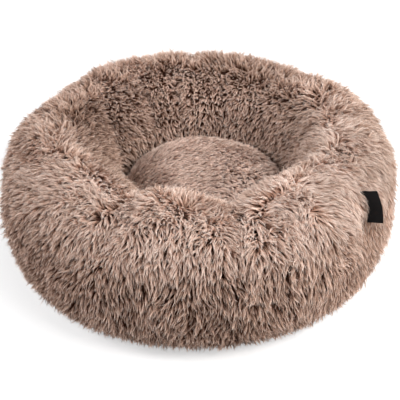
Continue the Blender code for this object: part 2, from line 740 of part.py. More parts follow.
def cushion_cover_top(made_material):
    """The fur crown of the cushion: a thick bowl, open downwards."""
    loops = []
    for azimuth in cushion_angles():
        inner = cushion_top_rows(azimuth, CUSHION_PILE_DEPTH)
        loops.append(list(reversed(cushion_top_rows(azimuth, 0.0))) + inner)
    bm = bmesh.new()
    backwards = range(len(loops[0]) // 2 - 1)
    rows = loft(bm, loops, close_ring=True, close_section=False, turned=backwards)
    middle_dent = cushion_dent(0.0, 0.0)
    close_with_fan(bm, rows, 0, CUSHION_TOP_Z - middle_dent)
    close_with_fan(bm, rows, -1, CUSHION_TOP_Z - CUSHION_PILE_DEPTH - middle_dent)
    return new_object("cushion_cover_top", mesh_from("cushion_cover_top", bm), made_material)


def cushion_cover_base(made_material):
    """The cushion's cloth underside: a thin bowl with a flat base, sewn on under the fur."""
    outer_inset = CUSHION_PILE_DEPTH - BASE_CLOTH_THICKNESS
    seam_z = CUSHION_SEAM_Z - FABRIC_GAP
    low = CUSHION_LOW
    loops = []
    for azimuth in cushion_angles():
        outside = cushion_foot_rows(azimuth, outer_inset, low, seam_z)
        inside = cushion_foot_rows(azimuth, CUSHION_PILE_DEPTH, low + BASE_CLOTH_THICKNESS, seam_z)
        loops.append(outside + list(reversed(inside)))
    count = len(loops[0])
    bm = bmesh.new()
    rows = loft(bm, loops, close_ring=True, close_section=False, turned=range(count // 2, count))
    close_with_fan(bm, rows, 0, low)
    close_with_fan(bm, rows, -1, low + BASE_CLOTH_THICKNESS)
    return new_object("cushion_cover_base", mesh_from("cushion_cover_base", bm), made_material)


def cushion_filling(made_material):
    """The fibre pad inside the cushion's cover."""
    inset = CUSHION_PILE_DEPTH + FABRIC_GAP
    low = CUSHION_LOW + BASE_CLOTH_THICKNESS + FABRIC_GAP
    loops = []
    for azimuth in cushion_angles():
        foot = cushion_foot_rows(azimuth, inset, low, CUSHION_SEAM_Z)
        loops.append(foot + cushion_top_rows(azimuth, inset)[1:])
    bm = bmesh.new()
    rows = loft(bm, loops, close_ring=True, close_section=False)
    close_with_fan(bm, rows, 0, low)
    close_with_fan(bm, rows, -1, CUSHION_TOP_Z - inset - cushion_dent(0.0, 0.0))
    return new_object("cushion_filling", mesh_from("cushion_filling", bm), made_material)


def side_label(made_material):
    """A ribbon folded double and sewn into the right-hand seam, standing out of the fur."""
    section = plain_section(SEAM_ANGLE, 0.0, COVER_FOOT, CUSHION_LOW)
    outer = [point for point in section[ARC_STEPS:2 * ARC_STEPS + 1]]
    below = [point for point in outer if point[1] <= LABEL_MIDDLE_HEIGHT][-1]
    above = [point for point in outer if point[1] > LABEL_MIDDLE_HEIGHT][0]
    share = (LABEL_MIDDLE_HEIGHT - below[1]) / (above[1] - below[1])
    fur_radius = below[0] + (above[0] - below[0]) * share
    inner = -LABEL_ROOT
    outer_edge = LABEL_STAND
    half = 0.5 * LABEL_LENGTH
    fold = LABEL_LAYER + 0.5 * FABRIC_GAP
    inside = 0.5 * FABRIC_GAP
    profile = (
        (inner, -fold), (outer_edge - fold, -fold), (outer_edge, -inside), (outer_edge, inside),
        (outer_edge - fold, fold), (inner, fold), (inner, inside),
        (outer_edge - fold, inside), (outer_edge - fold, -inside), (inner, -inside),
    )
    loops = []
    lean = Vector((math.sin(LABEL_LEAN), math.cos(LABEL_LEAN)))
    for end in (-half, half):
        loop = []
        for out, side in profile:
            radius = fur_radius + out * lean.y + end * lean.x
            height = LABEL_MIDDLE_HEIGHT - out * lean.x + end * lean.y
            loop.append(Vector((
                radius * math.cos(SEAM_ANGLE) - side * math.sin(SEAM_ANGLE),
                radius * math.sin(SEAM_ANGLE) + side * math.cos(SEAM_ANGLE), height)))
        loops.append(loop)
    bm = bmesh.new()
    rows = loft(bm, loops, close_ring=False, close_section=True)
    for row in rows:
        bm.faces.new(row)
    return new_object("side_label", mesh_from("side_label", bm), made_material, smooth=False)


def build_bed():
    """Make every piece of the bed."""
    fur = material("fur_taupe", TAUPE, 0.9)
    cushion_fur = material("cushion_fur_taupe", TAUPE_LIGHT, 0.9)
    cloth = material("oxford_grey", CLOTH_GREY, 0.8)
    binding = material("binding_brown", TAPE_BROWN, 0.8)
    lining = material("lining_taupe", TAUPE, 0.8)
    liner = material("liner_white", LINER_WHITE, 0.8)
    fibre = material("fibre_white", FIBRE_WHITE, 0.95)
    tape = material("tape_brown", TAPE_BROWN, 0.85)
    metal = material("zip_metal", METAL_GREY, 0.35, 1.0)
    label = material("label_black", LABEL_BLACK, 0.5)

    far_seam = SEAM_ANGLE + math.pi
    rim_panel("rim_cover_back", SEAM_ANGLE, far_seam, fur)
    rim_panel("rim_cover_front", far_seam, far_seam + math.pi, fur)
    rim_liner_top(liner)
    rim_filling(fibre)
    side_label(label)

    route = ZipRoute(ZIP_ARC_LENGTH, ZIP_RADIUS, ZIP_START_ANGLE, BASE_CLOTH_LOW)
    base_cloth(route, cloth)
    base_pads(route, fibre, binding, lining, liner)
    make_zip(route, tape, metal)

    cushion_cover_top(cushion_fur)
    cushion_cover_base(cloth)
    cushion_filling(fibre)
    return route


zip_route = build_bed()
pivot = zip_route.place((0.5 * SLIDER_LENGTH, 0.0, zip_route.pin_z))
travel = (ZIP_ARC_LENGTH - SLIDER_LENGTH) / ZIP_RADIUS
print("zip pull pivot", [round(value, 6) for value in pivot])
print("zip slider travel, degrees", round(math.degrees(travel), 3))
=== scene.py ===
# %% [markdown]
# # A donut pet bed in faux fur
# The real bed is a thick stuffed ring of long-haired plush with a loose cushion in its well, a
# coated grip cloth with a zip underneath, and a small folded side label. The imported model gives
# the frame: every piece below takes its place from it, and nothing there is moved. What makes
# the bed look soft is its pile, so most of this lesson is about making hair as a real mesh.

# %% Load the frame
import math

import bmesh
import bpy
import numpy as np
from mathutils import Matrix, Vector
from mathutils.bvhtree import BVHTree


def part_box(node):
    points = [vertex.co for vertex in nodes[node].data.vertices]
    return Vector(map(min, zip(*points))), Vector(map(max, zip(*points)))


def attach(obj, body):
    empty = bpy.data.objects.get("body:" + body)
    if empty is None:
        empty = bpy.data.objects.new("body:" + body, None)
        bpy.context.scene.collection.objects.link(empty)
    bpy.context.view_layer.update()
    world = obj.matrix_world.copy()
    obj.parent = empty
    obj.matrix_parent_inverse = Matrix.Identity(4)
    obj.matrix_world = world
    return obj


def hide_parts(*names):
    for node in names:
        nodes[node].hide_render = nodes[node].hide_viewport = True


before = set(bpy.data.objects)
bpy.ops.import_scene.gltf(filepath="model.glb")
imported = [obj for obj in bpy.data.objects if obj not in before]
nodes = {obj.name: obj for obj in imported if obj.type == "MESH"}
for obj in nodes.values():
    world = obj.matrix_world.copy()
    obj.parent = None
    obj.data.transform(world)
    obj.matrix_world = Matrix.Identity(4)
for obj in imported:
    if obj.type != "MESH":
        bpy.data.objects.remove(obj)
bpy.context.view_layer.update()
print("pieces in the frame:", len(nodes))

# %% [markdown]
# Everything is measured from a few sizes of the bed that the frame itself holds. The rim is a
# ring round the middle, so a place on it is told by a turn round the bed and a turn round the
# rim's own section. The well and its cushion lie a little to the right of the bed's middle.

# %% Sizes read from the frame
rim_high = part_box("rim_cover_front")[1]
back_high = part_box("rim_cover_back")[1]
cushion_low, cushion_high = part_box("cushion_cover_top")
base_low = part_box("cushion_cover_base")[0]
bed_height = max(rim_high.z, back_high.z)
well_x = 0.5 * (cushion_low.x + cushion_high.x)
cushion_radius = 0.5 * (cushion_high.y - cushion_low.y)
ring_radius = 0.203
ring_height = 0.098
wall_clearance = 0.0012
print("bed height", round(bed_height, 4), "cushion radius", round(cushion_radius, 4))

# %% Small helpers


def deselect_all():
    """Leave edit mode and deselect everything, because an operator acts on all that is selected."""
    if bpy.context.object and bpy.context.object.mode != "OBJECT":
        bpy.ops.object.mode_set(mode="OBJECT")
    bpy.ops.object.select_all(action="DESELECT")


def activate(piece):
    """Make one piece the only selected and the active one."""
    deselect_all()
    piece.select_set(True)
    bpy.context.view_layer.objects.active = piece


def apply_all(piece):
    """Apply every modifier of a piece in order."""
    activate(piece)
    for modifier in list(piece.modifiers):
        bpy.ops.object.modifier_apply(modifier=modifier.name)


def points_of(mesh):
    """A mesh's points as an array."""
    flat = np.empty(len(mesh.vertices) * 3)
    mesh.vertices.foreach_get("co", flat)
    return flat.reshape(-1, 3)


def set_points(mesh, points):
    """Move a mesh's points."""
    mesh.vertices.foreach_set("co", np.ascontiguousarray(points, dtype=np.float32).ravel())
    mesh.update()


def merged_copy(names):
    """A bmesh of some CAD nodes' triangles with their doubles merged."""
    joined = bmesh.new()
    for name in names:
        joined.from_mesh(nodes[name].data)
    bmesh.ops.remove_doubles(joined, verts=joined.verts, dist=0.00001)
    return joined


def linked(name, data):
    """A new object of some data in the scene."""
    piece = bpy.data.objects.new(name, data)
    bpy.context.scene.collection.objects.link(piece)
    return piece


def piece_from(name, source, material):
    """A new object from a bmesh, which is freed."""
    mesh = bpy.data.meshes.new(name)
    source.to_mesh(mesh)
    source.free()
    mesh.materials.append(material)
    return linked(name, mesh)


def new_material(name):
    """A material with nodes; returns it with its tree and its shader."""
    made = bpy.data.materials.new(name)
    made.use_nodes = True
    return made, made.node_tree, made.node_tree.nodes["Principled BSDF"]


def set_inputs(node, values):
    """Set some of a node's inputs by their names."""
    for name, value in values.items():
        node.inputs[name].default_value = value


print("helpers ready")

# %% [markdown]
# ## Camera, floor and light
# The photograph looks down on the bed by about a third of a right angle, from two metres away
# through a long lens. The floor and the world show white to the camera only, and the floor still
# takes a faint shadow where the fur meets it.

# %% Camera
VIEW_DISTANCE = 2.1
VIEW_ELEVATION = math.radians(33.64)
SENSOR_WIDTH = 36.0
FOCAL_PIXELS = 1354.8
IMAGE_PIXELS = 400
CENTRE_PIXEL = (199.0, 184.1)
AIM = Vector((0.0, 0.0, 0.107))

camera_data = bpy.data.cameras.new("camera")
camera_data.sensor_width = SENSOR_WIDTH
camera_data.lens = SENSOR_WIDTH * FOCAL_PIXELS / IMAGE_PIXELS
camera_data.shift_x = (0.5 * IMAGE_PIXELS - CENTRE_PIXEL[0]) / IMAGE_PIXELS
camera_data.shift_y = (CENTRE_PIXEL[1] - 0.5 * IMAGE_PIXELS) / IMAGE_PIXELS
camera = linked("camera", camera_data)
away = Vector((0.0, -math.cos(VIEW_ELEVATION), math.sin(VIEW_ELEVATION)))
camera.location = AIM + VIEW_DISTANCE * away
camera.rotation_euler = (-away).to_track_quat("-Z", "Y").to_euler()
bpy.context.scene.camera = camera
bpy.context.scene.view_settings.view_transform = "Standard"
print("lens", round(camera_data.lens, 2), "mm, shift", round(camera_data.shift_y, 4))

# %% Floor that looks white and keeps a shadow
FLOOR_SIZE = 6.0
FLOOR_GLOW = 0.55


def seen_share(tree):
    """1 for what the camera or a mirror sees, and 0 for light that goes on to the bed."""
    light_path = tree.nodes.new("ShaderNodeLightPath")
    either = tree.nodes.new("ShaderNodeMath")
    either.operation = "MAXIMUM"
    for socket, ray in zip(either.inputs, ("Is Camera Ray", "Is Glossy Ray")):
        tree.links.new(light_path.outputs[ray], socket)
    return either.outputs["Value"]


deselect_all()
bpy.ops.mesh.primitive_plane_add(size=FLOOR_SIZE, location=(0.0, 0.0, -0.0005))
floor = bpy.context.object
floor.name = "studio_floor"
floor_material, tree, shader = new_material("white_floor")
set_inputs(shader, {
    "Base Color": (0.62, 0.62, 0.62, 1.0), "Roughness": 0.9,
    "Emission Color": (1.0, 1.0, 1.0, 1.0)})
glow = tree.nodes.new("ShaderNodeMath")
glow.operation = "MULTIPLY"
glow.inputs[1].default_value = FLOOR_GLOW
tree.links.new(seen_share(tree), glow.inputs[0])
tree.links.new(glow.outputs["Value"], shader.inputs["Emission Strength"])
floor.data.materials.append(floor_material)
print("floor", FLOOR_SIZE, "m wide")

# %% World and lamps
WORLD_FILL = 0.07
LAMP_AIM = Vector((0.0, 0.0, 0.1))
LAMPS = {
    "key": ((1.5, -1.3, 2.2), 1.1, 32.0, (1.0, 0.98, 0.96)),
    "left": ((-2.2, -0.2, 1.4), 1.4, 47.0, (0.98, 0.98, 1.0)),
    "right": ((2.2, -0.2, 1.4), 1.4, 52.0, (1.0, 0.99, 0.98)),
    "top": ((0.3, -0.3, 2.6), 1.4, 13.0, (1.0, 1.0, 1.0))}


def add_area_light(name, place, size, power, colour):
    """A square soft box that faces the bed."""
    data = bpy.data.lights.new(name, "AREA")
    data.size = size
    data.energy = power
    data.color = colour
    lamp = linked(name, data)
    lamp.location = place
    lamp.rotation_euler = (LAMP_AIM - Vector(place)).to_track_quat("-Z", "Y").to_euler()


world = bpy.data.worlds.new("studio")
bpy.context.scene.world = world
world.use_nodes = True
tree = world.node_tree
background = tree.nodes["Background"]
background.inputs["Color"].default_value = (1.0, 1.0, 1.0, 1.0)
strength = tree.nodes.new("ShaderNodeMapRange")
set_inputs(strength, {"To Min": WORLD_FILL, "To Max": 1.0})
tree.links.new(seen_share(tree), strength.inputs["Value"])
tree.links.new(strength.outputs["Result"], background.inputs["Strength"])
for name, lamp in LAMPS.items():
    add_area_light(name, *lamp)
print("soft lamps", list(LAMPS), "and a world fill of", WORLD_FILL)

# %% [markdown]
# ## Smooth noise for combing
# Fur never lies quite straight. A few dozen waves of random direction, added up, make a smooth
# field that is the same on each run. It bends the lie of the hair, varies its length and tone,
# and makes the plush skin a little lumpy.

# %% Noise made of waves


def wave_noise(points, wavelength, seed, count=24):
    """Smooth noise from about -1 to 1 at each point, with features of about this wavelength."""
    draws = np.random.default_rng(seed)
    ways = draws.normal(size=(count, 3))
    ways /= np.linalg.norm(ways, axis=1)[:, None]
    numbers = 2.0 * math.pi / (wavelength * draws.uniform(0.7, 1.5, count))
    phases = draws.uniform(0.0, 2.0 * math.pi, count)
    return np.sin(points @ (ways * numbers[:, None]).T + phases).sum(1) * math.sqrt(1.0 / count)


def wave_vectors(points, wavelength, seed):
    """Three independent noises as a vector at each point."""
    return np.stack([wave_noise(points, wavelength, seed + axis) for axis in range(3)], 1)


print("noise at the origin", wave_noise(np.zeros((1, 3)), 0.05, 1))

# %% [markdown]
# ## The plush skins
# The rim's knitted backing is a bent tube, open underneath and sewn from two panels. Spokes are
# cast round the rim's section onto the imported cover, and their lengths are blurred a little, so
# that its facets go. A flat grid is then rolled into the tube that the spokes describe. The
# tube's two feet are told by their height and their distance from the bed's axis.

# %% Spokes from the rim's middle to its cover
TURNS = 288
AROUND = 97
SEAM_TURN = math.radians(-28.0)
SPOKE_START = 0.150
SHORTEST_SPOKE = 0.050
SPOKE_BLUR = (2.6, 1.6)


def foot_angle(height, radius):
    """The section's angle, in degrees, of a foot at this height and distance from the axis."""
    return math.degrees(math.atan2(height - ring_height, radius - ring_radius))


OUTER_FOOT = foot_angle(0.004, 0.251)
INNER_FOOT = 360.0 + foot_angle(0.013, 0.137)


def section_spokes(degrees):
    """Middles and directions of the section's spokes: turns x spokes x 3."""
    turn = SEAM_TURN + 2.0 * math.pi * np.arange(TURNS) / TURNS
    spoke = np.radians(degrees)
    way = np.empty((TURNS, len(spoke), 3))
    way[..., 0] = np.cos(turn)[:, None] * np.cos(spoke)
    way[..., 1] = np.sin(turn)[:, None] * np.cos(spoke)
    way[..., 2] = np.sin(spoke)
    middle = np.zeros_like(way)
    middle[..., 0] = (ring_radius * np.cos(turn))[:, None]
    middle[..., 1] = (ring_radius * np.sin(turn))[:, None]
    middle[..., 2] = ring_height
    return middle, way


def blurred(grid, widths, closed):
    """A grid blurred along its first two axes, each closed or with ends."""
    for axis in (0, 1):
        half = int(3 * widths[axis])
        weights = np.exp(-0.5 * (np.arange(-half, half + 1) / widths[axis]) ** 2)
        weights /= weights.sum()
        pad = [(0, 0)] * grid.ndim
        pad[axis] = (half, half)
        padded = np.pad(grid, pad, mode="wrap" if closed[axis] else "edge")
        size = grid.shape[axis]
        parts = [np.take(padded, range(k, k + size), axis=axis) for k in range(2 * half + 1)]
        grid = sum(weight * part for weight, part in zip(weights, parts))
    return grid


middles, spokes = section_spokes(np.linspace(OUTER_FOOT, INNER_FOOT, AROUND))
cover_mesh = merged_copy(("rim_cover_front", "rim_cover_back"))
cover_tree = BVHTree.FromBMesh(cover_mesh)
reach = np.full((TURNS, AROUND), np.nan)
for row, column in np.ndindex(TURNS, AROUND):
    way = Vector(spokes[row, column])
    hit = cover_tree.ray_cast(Vector(middles[row, column]) + SPOKE_START * way, -way)
    if hit[0] and SPOKE_START - hit[3] > SHORTEST_SPOKE:
        reach[row, column] = SPOKE_START - hit[3]
cover_mesh.free()
missed = np.isnan(reach)
reach = np.where(missed, np.nanmedian(reach, axis=0), reach)
reach = blurred(reach, SPOKE_BLUR, (True, False))
rim_outside = middles + reach[..., None] * spokes
print("spokes that missed the cover:", int(missed.sum()), "of", missed.size)

# %% [markdown]
# ## Growing pile on a skin
# A pelt is a grid of points on a skin with its slopes and its outward normals. A lock of hair
# sets out from a root and walks over the pelt in short steps, down the wall and a little astray,
# while it lies down more and more. The strands of a lock start beside each other and close up
# towards its tip, which gives the pointed wisps that long plush has. A strand is a narrow
# blade of five triangles: real hair curves are not drawn once the model is exported.

# %% A pelt to walk on
STANDING = math.radians(72.0)
TINY = 1e-9
LAST_CELL = 1.001


def unit(vectors):
    """Vectors of length one."""
    return vectors / np.maximum(np.linalg.norm(vectors, axis=1), TINY)[:, None]


def along_skin(vectors, normal):
    """The part of each vector that lies along the skin."""
    return vectors - normal * (vectors * normal).sum(1)[:, None]


def soft_step(value, edge, width):
    """A share that goes smoothly from 0 below an edge to 1 above it."""
    return 1.0 / (1.0 + np.exp(-(value - edge) / width))


class Pelt:
    """A skin as a grid of points, with what is needed to walk on it."""

    def __init__(self, points, closed):
        self.points = points
        self.closed = closed
        self.slope_a = self.slopes(0)
        self.slope_b = self.slopes(1)
        normals = np.cross(self.slope_a, self.slope_b)
        self.normals = normals / np.linalg.norm(normals, axis=-1)[..., None]

    def slopes(self, axis):
        """Change of place for one step of the grid."""
        if self.closed[axis]:
            ahead = np.roll(self.points, -1, axis=axis)
            return 0.5 * (ahead - np.roll(self.points, 1, axis=axis))
        return np.gradient(self.points, axis=axis)

    def at(self, field, a, b):
        """A field of the grid at fractional places."""
        rows, columns = self.points.shape[:2]
        a = a % rows if self.closed[0] else np.clip(a, 0.0, rows - LAST_CELL)
        b = np.clip(b, 0.0, columns - LAST_CELL)
        row = a.astype(int)
        column = b.astype(int)
        over_a = (a - row)[:, None]
        over_b = (b - column)[:, None]
        after = (row + 1) % rows
        near = field[row, column] * (1.0 - over_b) + field[row, column + 1] * over_b
        far = field[after, column] * (1.0 - over_b) + field[after, column + 1] * over_b
        return near * (1.0 - over_a) + far * over_a

    def steps_for(self, a, b, move):
        """The grid steps that a small move along the skin takes."""
        u = self.at(self.slope_a, a, b)
        v = self.at(self.slope_b, a, b)
        uu = (u * u).sum(1)
        uv = (u * v).sum(1)
        vv = (v * v).sum(1)
        mu = (move * u).sum(1)
        mv = (move * v).sum(1)
        below = np.maximum(uu * vv - uv * uv, 1e-18)
        return (mu * vv - mv * uv) / below, (mv * uu - mu * uv) / below

    def sown(self, spacing_of, seed):
        """Places scattered over the skin, about spacing_of(point) apart."""
        draws = np.random.default_rng(seed)
        rows, columns = self.points.shape[:2]
        area = np.linalg.norm(np.cross(self.slope_a, self.slope_b), axis=-1)
        wanted = area / spacing_of(self.points.reshape(-1, 3)).reshape(rows, columns) ** 2
        total = wanted.ravel().cumsum()
        count = int(total[-1])
        ranks = (np.arange(count) + draws.uniform(0.0, 1.0, count)) / count * total[-1]
        cells = np.searchsorted(total, ranks).clip(0, rows * columns - 1)
        a = cells // columns + draws.uniform(-0.5, 0.5, count)
        b = cells % columns + draws.uniform(-0.5, 0.5, count)
        return a, b


rim_pelt = Pelt(rim_outside, (True, False))
print("normal on the crest points up:", round(float(rim_pelt.normals[0, AROUND // 2, 2]), 2))

# %% [markdown]
# The fibre fill pushes the plush out in puffs, and where the fill is thin the plush sinks into
# creases, which run from the well over the crest. Each crease is told by its azimuth at its two
# ends, the section angles of those ends, its width and its depth. The puffs stand a few
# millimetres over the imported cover, so that the creases sink back to about its surface. A bulge
# is wider than a puff. It is told by its middle, its size and its height, and the three with a
# height below zero are hollows, where the ring is flatter than beside them.

# %% Puffs and creases
CREASES = (
    (-120.0, -115.0, 22.0, 98.0, 0.012, 0.0066), (-79.0, -75.0, 22.0, 98.0, 0.012, 0.0064),
    (-58.0, -55.0, 35.0, 82.0, 0.010, 0.0030), (-19.0, -43.0, 50.0, 85.0, 0.012, 0.0014),
    (-165.0, -140.0, 60.0, 115.0, 0.010, 0.0045), (-136.0, -135.0, 15.0, 56.0, 0.010, 0.0040),
    (142.0, 164.0, 88.0, 165.0, 0.011, 0.0075), (42.0, 5.0, 105.0, 155.0, 0.013, 0.0020),
    (103.0, 101.0, 100.0, 170.0, 0.009, 0.0055), (77.0, 72.0, 105.0, 165.0, 0.009, 0.0055),
    (121.0, 121.0, 92.0, 148.0, 0.009, 0.0050), (57.0, 38.0, 105.0, 155.0, 0.009, 0.0035),
    (96.0, 92.0, 15.0, 90.0, 0.012, 0.0070), (50.0, 46.0, 20.0, 88.0, 0.012, 0.0065),
    (12.0, 6.0, 20.0, 84.0, 0.011, 0.0050), (148.0, 150.0, 18.0, 80.0, 0.012, 0.0065),
    (-170.0, -178.0, 15.0, 60.0, 0.011, 0.0050), (-98.0, -100.0, 10.0, 50.0, 0.010, 0.0040),
    (-121.0, -123.0, 95.0, 150.0, 0.013, 0.0080), (-75.0, -73.0, 95.0, 150.0, 0.014, 0.0090),
    (-31.0, -31.0, 5.0, 62.0, 0.013, 0.0060))
BULGES = (
    (-0.110, 0.235, 0.185, 0.075, 0.0060), (0.215, 0.150, 0.185, 0.085, 0.0060),
    (-0.235, 0.120, 0.180, 0.070, 0.0030), (0.265, 0.020, 0.150, 0.060, 0.0030),
    (-0.025, -0.172, 0.190, 0.045, 0.0045), (0.100, -0.145, 0.190, 0.045, 0.0055),
    (0.255, 0.105, 0.140, 0.070, 0.0060), (-0.270, 0.010, 0.160, 0.060, 0.0050),
    (0.240, -0.170, 0.075, 0.085, -0.0085),
    (-0.235, -0.165, 0.070, 0.080, -0.0050), (0.030, -0.285, 0.030, 0.090, -0.0035))
PUFF_HEIGHT = 0.0030
CREASE_FADE = math.radians(3.0)


def puffed(points, normals):
    """The skin pushed out in puffs and sunk in creases."""
    flat = points.reshape(-1, 3)
    radius = np.hypot(flat[:, 0], flat[:, 1])
    azimuth = np.arctan2(flat[:, 1], flat[:, 0])
    section = np.arctan2(flat[:, 2] - ring_height, radius - ring_radius) % (2.0 * math.pi)
    lumps = 0.5 * wave_noise(flat, 0.085, 101) + 0.3 * wave_noise(flat, 0.040, 111)
    push = PUFF_HEIGHT * (0.75 + lumps)
    for x, y, z, size, height in BULGES:
        push += height * np.exp(-((flat - np.array([x, y, z])) ** 2).sum(1) / size ** 2)
    for first, last, low, high, width, depth in CREASES:
        low, high = math.radians(low), math.radians(high)
        share = np.clip((section - low) / (high - low), 0.0, 1.0)
        middle = np.radians(first + (last - first) * share)
        away = radius * np.sin(azimuth - middle)
        same_side = np.cos(azimuth - middle) > 0.0
        ends = soft_step(section, low, CREASE_FADE) * soft_step(high - section, 0.0, CREASE_FADE)
        push -= same_side * ends * depth * np.exp(-(away / width) ** 2)
    on_wall = soft_step(flat[:, 2], 0.045, 0.008)
    by_cushion = (radius < ring_radius) * soft_step(0.130 - flat[:, 2], 0.0, 0.006)
    push *= on_wall * (1.0 - by_cushion)
    return points + normals * push.reshape(points.shape[:2])[..., None]


cover_skin = rim_outside
rim_outside = puffed(cover_skin, rim_pelt.normals)
rim_push = ((rim_outside - cover_skin) * rim_pelt.normals).sum(-1)
rim_pelt = Pelt(rim_outside, (True, False))
print("highest point of the skin", round(float(rim_outside[..., 2].max()), 4))

# %% Locks: how one lies
GUIDE_STEPS = 8
DROOP = 0.05
STEADINESS = 1.5


def lock_paths(pelt, a, b, comb, locks):
    """Walk every lock over its pelt; returns the places and heights at each step.

    comb gives the flow of the hair at a point, weaker where the hair stands up. Of each lock,
    length is its length, lift its angle off the skin at the root, curl how much its way turns,
    wander a flow of its own, and rise the height that it ends at above its root.
    """
    paths_a = [a]
    paths_b = [b]
    heights = [np.zeros(len(a))]
    stride = locks["length"] / GUIDE_STEPS
    for step in range(GUIDE_STEPS):
        share = (step + 0.5) / GUIDE_STEPS
        place = pelt.at(pelt.points, a, b)
        normal = unit(pelt.at(pelt.normals, a, b))
        flow = along_skin(comb(place, normal) + locks["wander"], normal)
        strength = np.clip(STEADINESS * np.linalg.norm(flow, axis=1), 0.0, 1.0)
        way = unit(flow)
        side = np.cross(normal, way)
        turn = locks["curl"] * (share - 0.3)
        way = way * np.cos(turn)[:, None] + side * np.sin(turn)[:, None]
        steep = locks["lift"] + (STANDING - locks["lift"]) * (1.0 - strength)
        angle = steep * (1.0 - share) ** locks["settle"] - DROOP
        move = way * (stride * np.cos(angle))[:, None]
        step_a, step_b = pelt.steps_for(a, b, move)
        a = a + step_a
        b = b + step_b
        heights.append(heights[-1] + stride * np.sin(angle))
        paths_a.append(a)
        paths_b.append(b)
    heights = np.stack(heights, 1)
    heights *= (locks["rise"] / np.maximum(heights.max(1), 0.2 * locks["rise"]))[:, None]
    return np.stack(paths_a, 1), np.stack(paths_b, 1), heights


def along_path(path, share):
    """A row of steps read at a share of its length, one share for each row."""
    at = np.clip(share, 0.0, 1.0) * (path.shape[1] - 1)
    step = np.minimum(at.astype(int), path.shape[1] - 2)
    rows = np.arange(len(path))
    return path[rows, step] + (path[rows, step + 1] - path[rows, step]) * (at - step)


print("a lock takes", GUIDE_STEPS, "steps")

# %% Strands: narrow blades that follow their lock
RING_SHARES = (0.0, 0.36, 0.72, 1.0)
RING_WIDTHS = (0.85, 1.0, 0.70)
BLADE_FACES = ((0, 1, 3, 2), (2, 3, 5, 4), (4, 5, 6))
BLADE_POINTS = 7
PAINT_HALF_WIDTH = 0.006
FEWEST_STRANDS = 3
LEAST_PAINT = 0.03
MOST_PAINT = 0.97


def strand_roots(pelt, lock_a, lock_b, wanted, spread, draws):
    """Roots scattered round the roots of their locks, and the lock that each strand is in.

    wanted is the number of strands in each lock, and spread how far they start from its middle.
    """
    per_lock = np.maximum(FEWEST_STRANDS, np.round(wanted)).astype(int)
    lock = np.repeat(np.arange(len(lock_a)), per_lock)
    turn = draws.uniform(0.0, 2.0 * math.pi, len(lock))
    out = np.sqrt(draws.uniform(0.0, 1.0, len(lock))) * spread[lock]
    size_a = np.linalg.norm(pelt.at(pelt.slope_a, lock_a, lock_b), axis=1)[lock]
    size_b = np.linalg.norm(pelt.at(pelt.slope_b, lock_a, lock_b), axis=1)[lock]
    root_a = lock_a[lock] + out * np.cos(turn) / size_a
    root_b = lock_b[lock] + out * np.sin(turn) / size_b
    return root_a, root_b, lock


def strand_points(pelt, root_a, root_b, lock, paths, looks, draws):
    """The seven points of every strand, and the share of the lock's length it reaches."""
    path_a, path_b, heights = (path[lock] for path in paths)
    count = len(lock)
    offset_a = root_a - path_a[:, 0]
    offset_b = root_b - path_b[:, 0]
    reach = draws.uniform(looks["shortest"], 1.0, count)
    lift = draws.normal(1.0, 0.10, count)
    depth = looks["depth"][lock]
    clump = looks["clump"][lock]
    stray = draws.normal(0.0, looks["stray"], (count, 3))
    centres = []
    normals = []
    for share in RING_SHARES:
        run = share * reach
        closing = 1.0 - clump * run ** 0.9
        a = along_path(path_a, run) + offset_a * closing
        b = along_path(path_b, run) + offset_b * closing
        normal = unit(pelt.at(pelt.normals, a, b))
        height = along_path(heights, run) * lift - depth
        centre = pelt.at(pelt.points, a, b) + normal * height[:, None] + stray * (share ** 1.5)
        centres.append(centre)
        normals.append(normal)
    roll = draws.normal(0.0, looks["roll"], count)
    width = looks["width"][lock] * draws.uniform(0.7, 1.25, count)
    points = np.empty((count, BLADE_POINTS, 3))
    points[:, 6] = centres[3]
    for ring, breadth in enumerate(RING_WIDTHS):
        ahead = unit(centres[ring + 1] - centres[max(ring - 1, 0)])
        side = unit(np.cross(normals[ring], ahead))
        rise = np.cross(ahead, side)
        across = side * np.cos(roll)[:, None] + rise * np.sin(roll)[:, None]
        half = (0.5 * width * breadth)[:, None]
        points[:, 2 * ring] = centres[ring] - across * half
        points[:, 2 * ring + 1] = centres[ring] + across * half
    return points, reach


def blade_mesh(name, points, tone, reach, first):
    """One mesh from many blades, with the paint map that the pile's colours are read from.

    first is the share of the paint at which each strand's root begins.
    """
    count = len(points)
    corners = np.concatenate([np.array(face) for face in BLADE_FACES])
    sizes = np.array([len(face) for face in BLADE_FACES])
    base = (BLADE_POINTS * np.arange(count))[:, None]
    mesh = bpy.data.meshes.new(name)
    mesh.vertices.add(BLADE_POINTS * count)
    mesh.vertices.foreach_set("co", points.astype(np.float32).ravel())
    mesh.loops.add(len(corners) * count)
    mesh.loops.foreach_set("vertex_index", (base + corners).astype(np.int32).ravel())
    mesh.polygons.add(len(sizes) * count)
    starts = (np.arange(count) * len(corners))[:, None] + np.concatenate([[0], sizes.cumsum()[:-1]])
    mesh.polygons.foreach_set("loop_start", starts.astype(np.int32).ravel())
    mesh.update(calc_edges=True)
    paint = np.empty((count, BLADE_POINTS, 2))
    side = np.array([-1, 1] * 3 + [0]) * PAINT_HALF_WIDTH
    paint[..., 0] = tone[:, None] + side
    shares = np.repeat(RING_SHARES, 2)[:BLADE_POINTS]
    along = first[:, None] + (MOST_PAINT - first[:, None]) * shares * reach[:, None]
    paint[..., 1] = np.maximum(along, LEAST_PAINT)
    layer = mesh.uv_layers.new(name="OFBake", do_init=False)
    layer.uv.foreach_set("vector", paint[:, corners].astype(np.float32).ravel())
    return mesh


print("a strand has", BLADE_POINTS, "points")

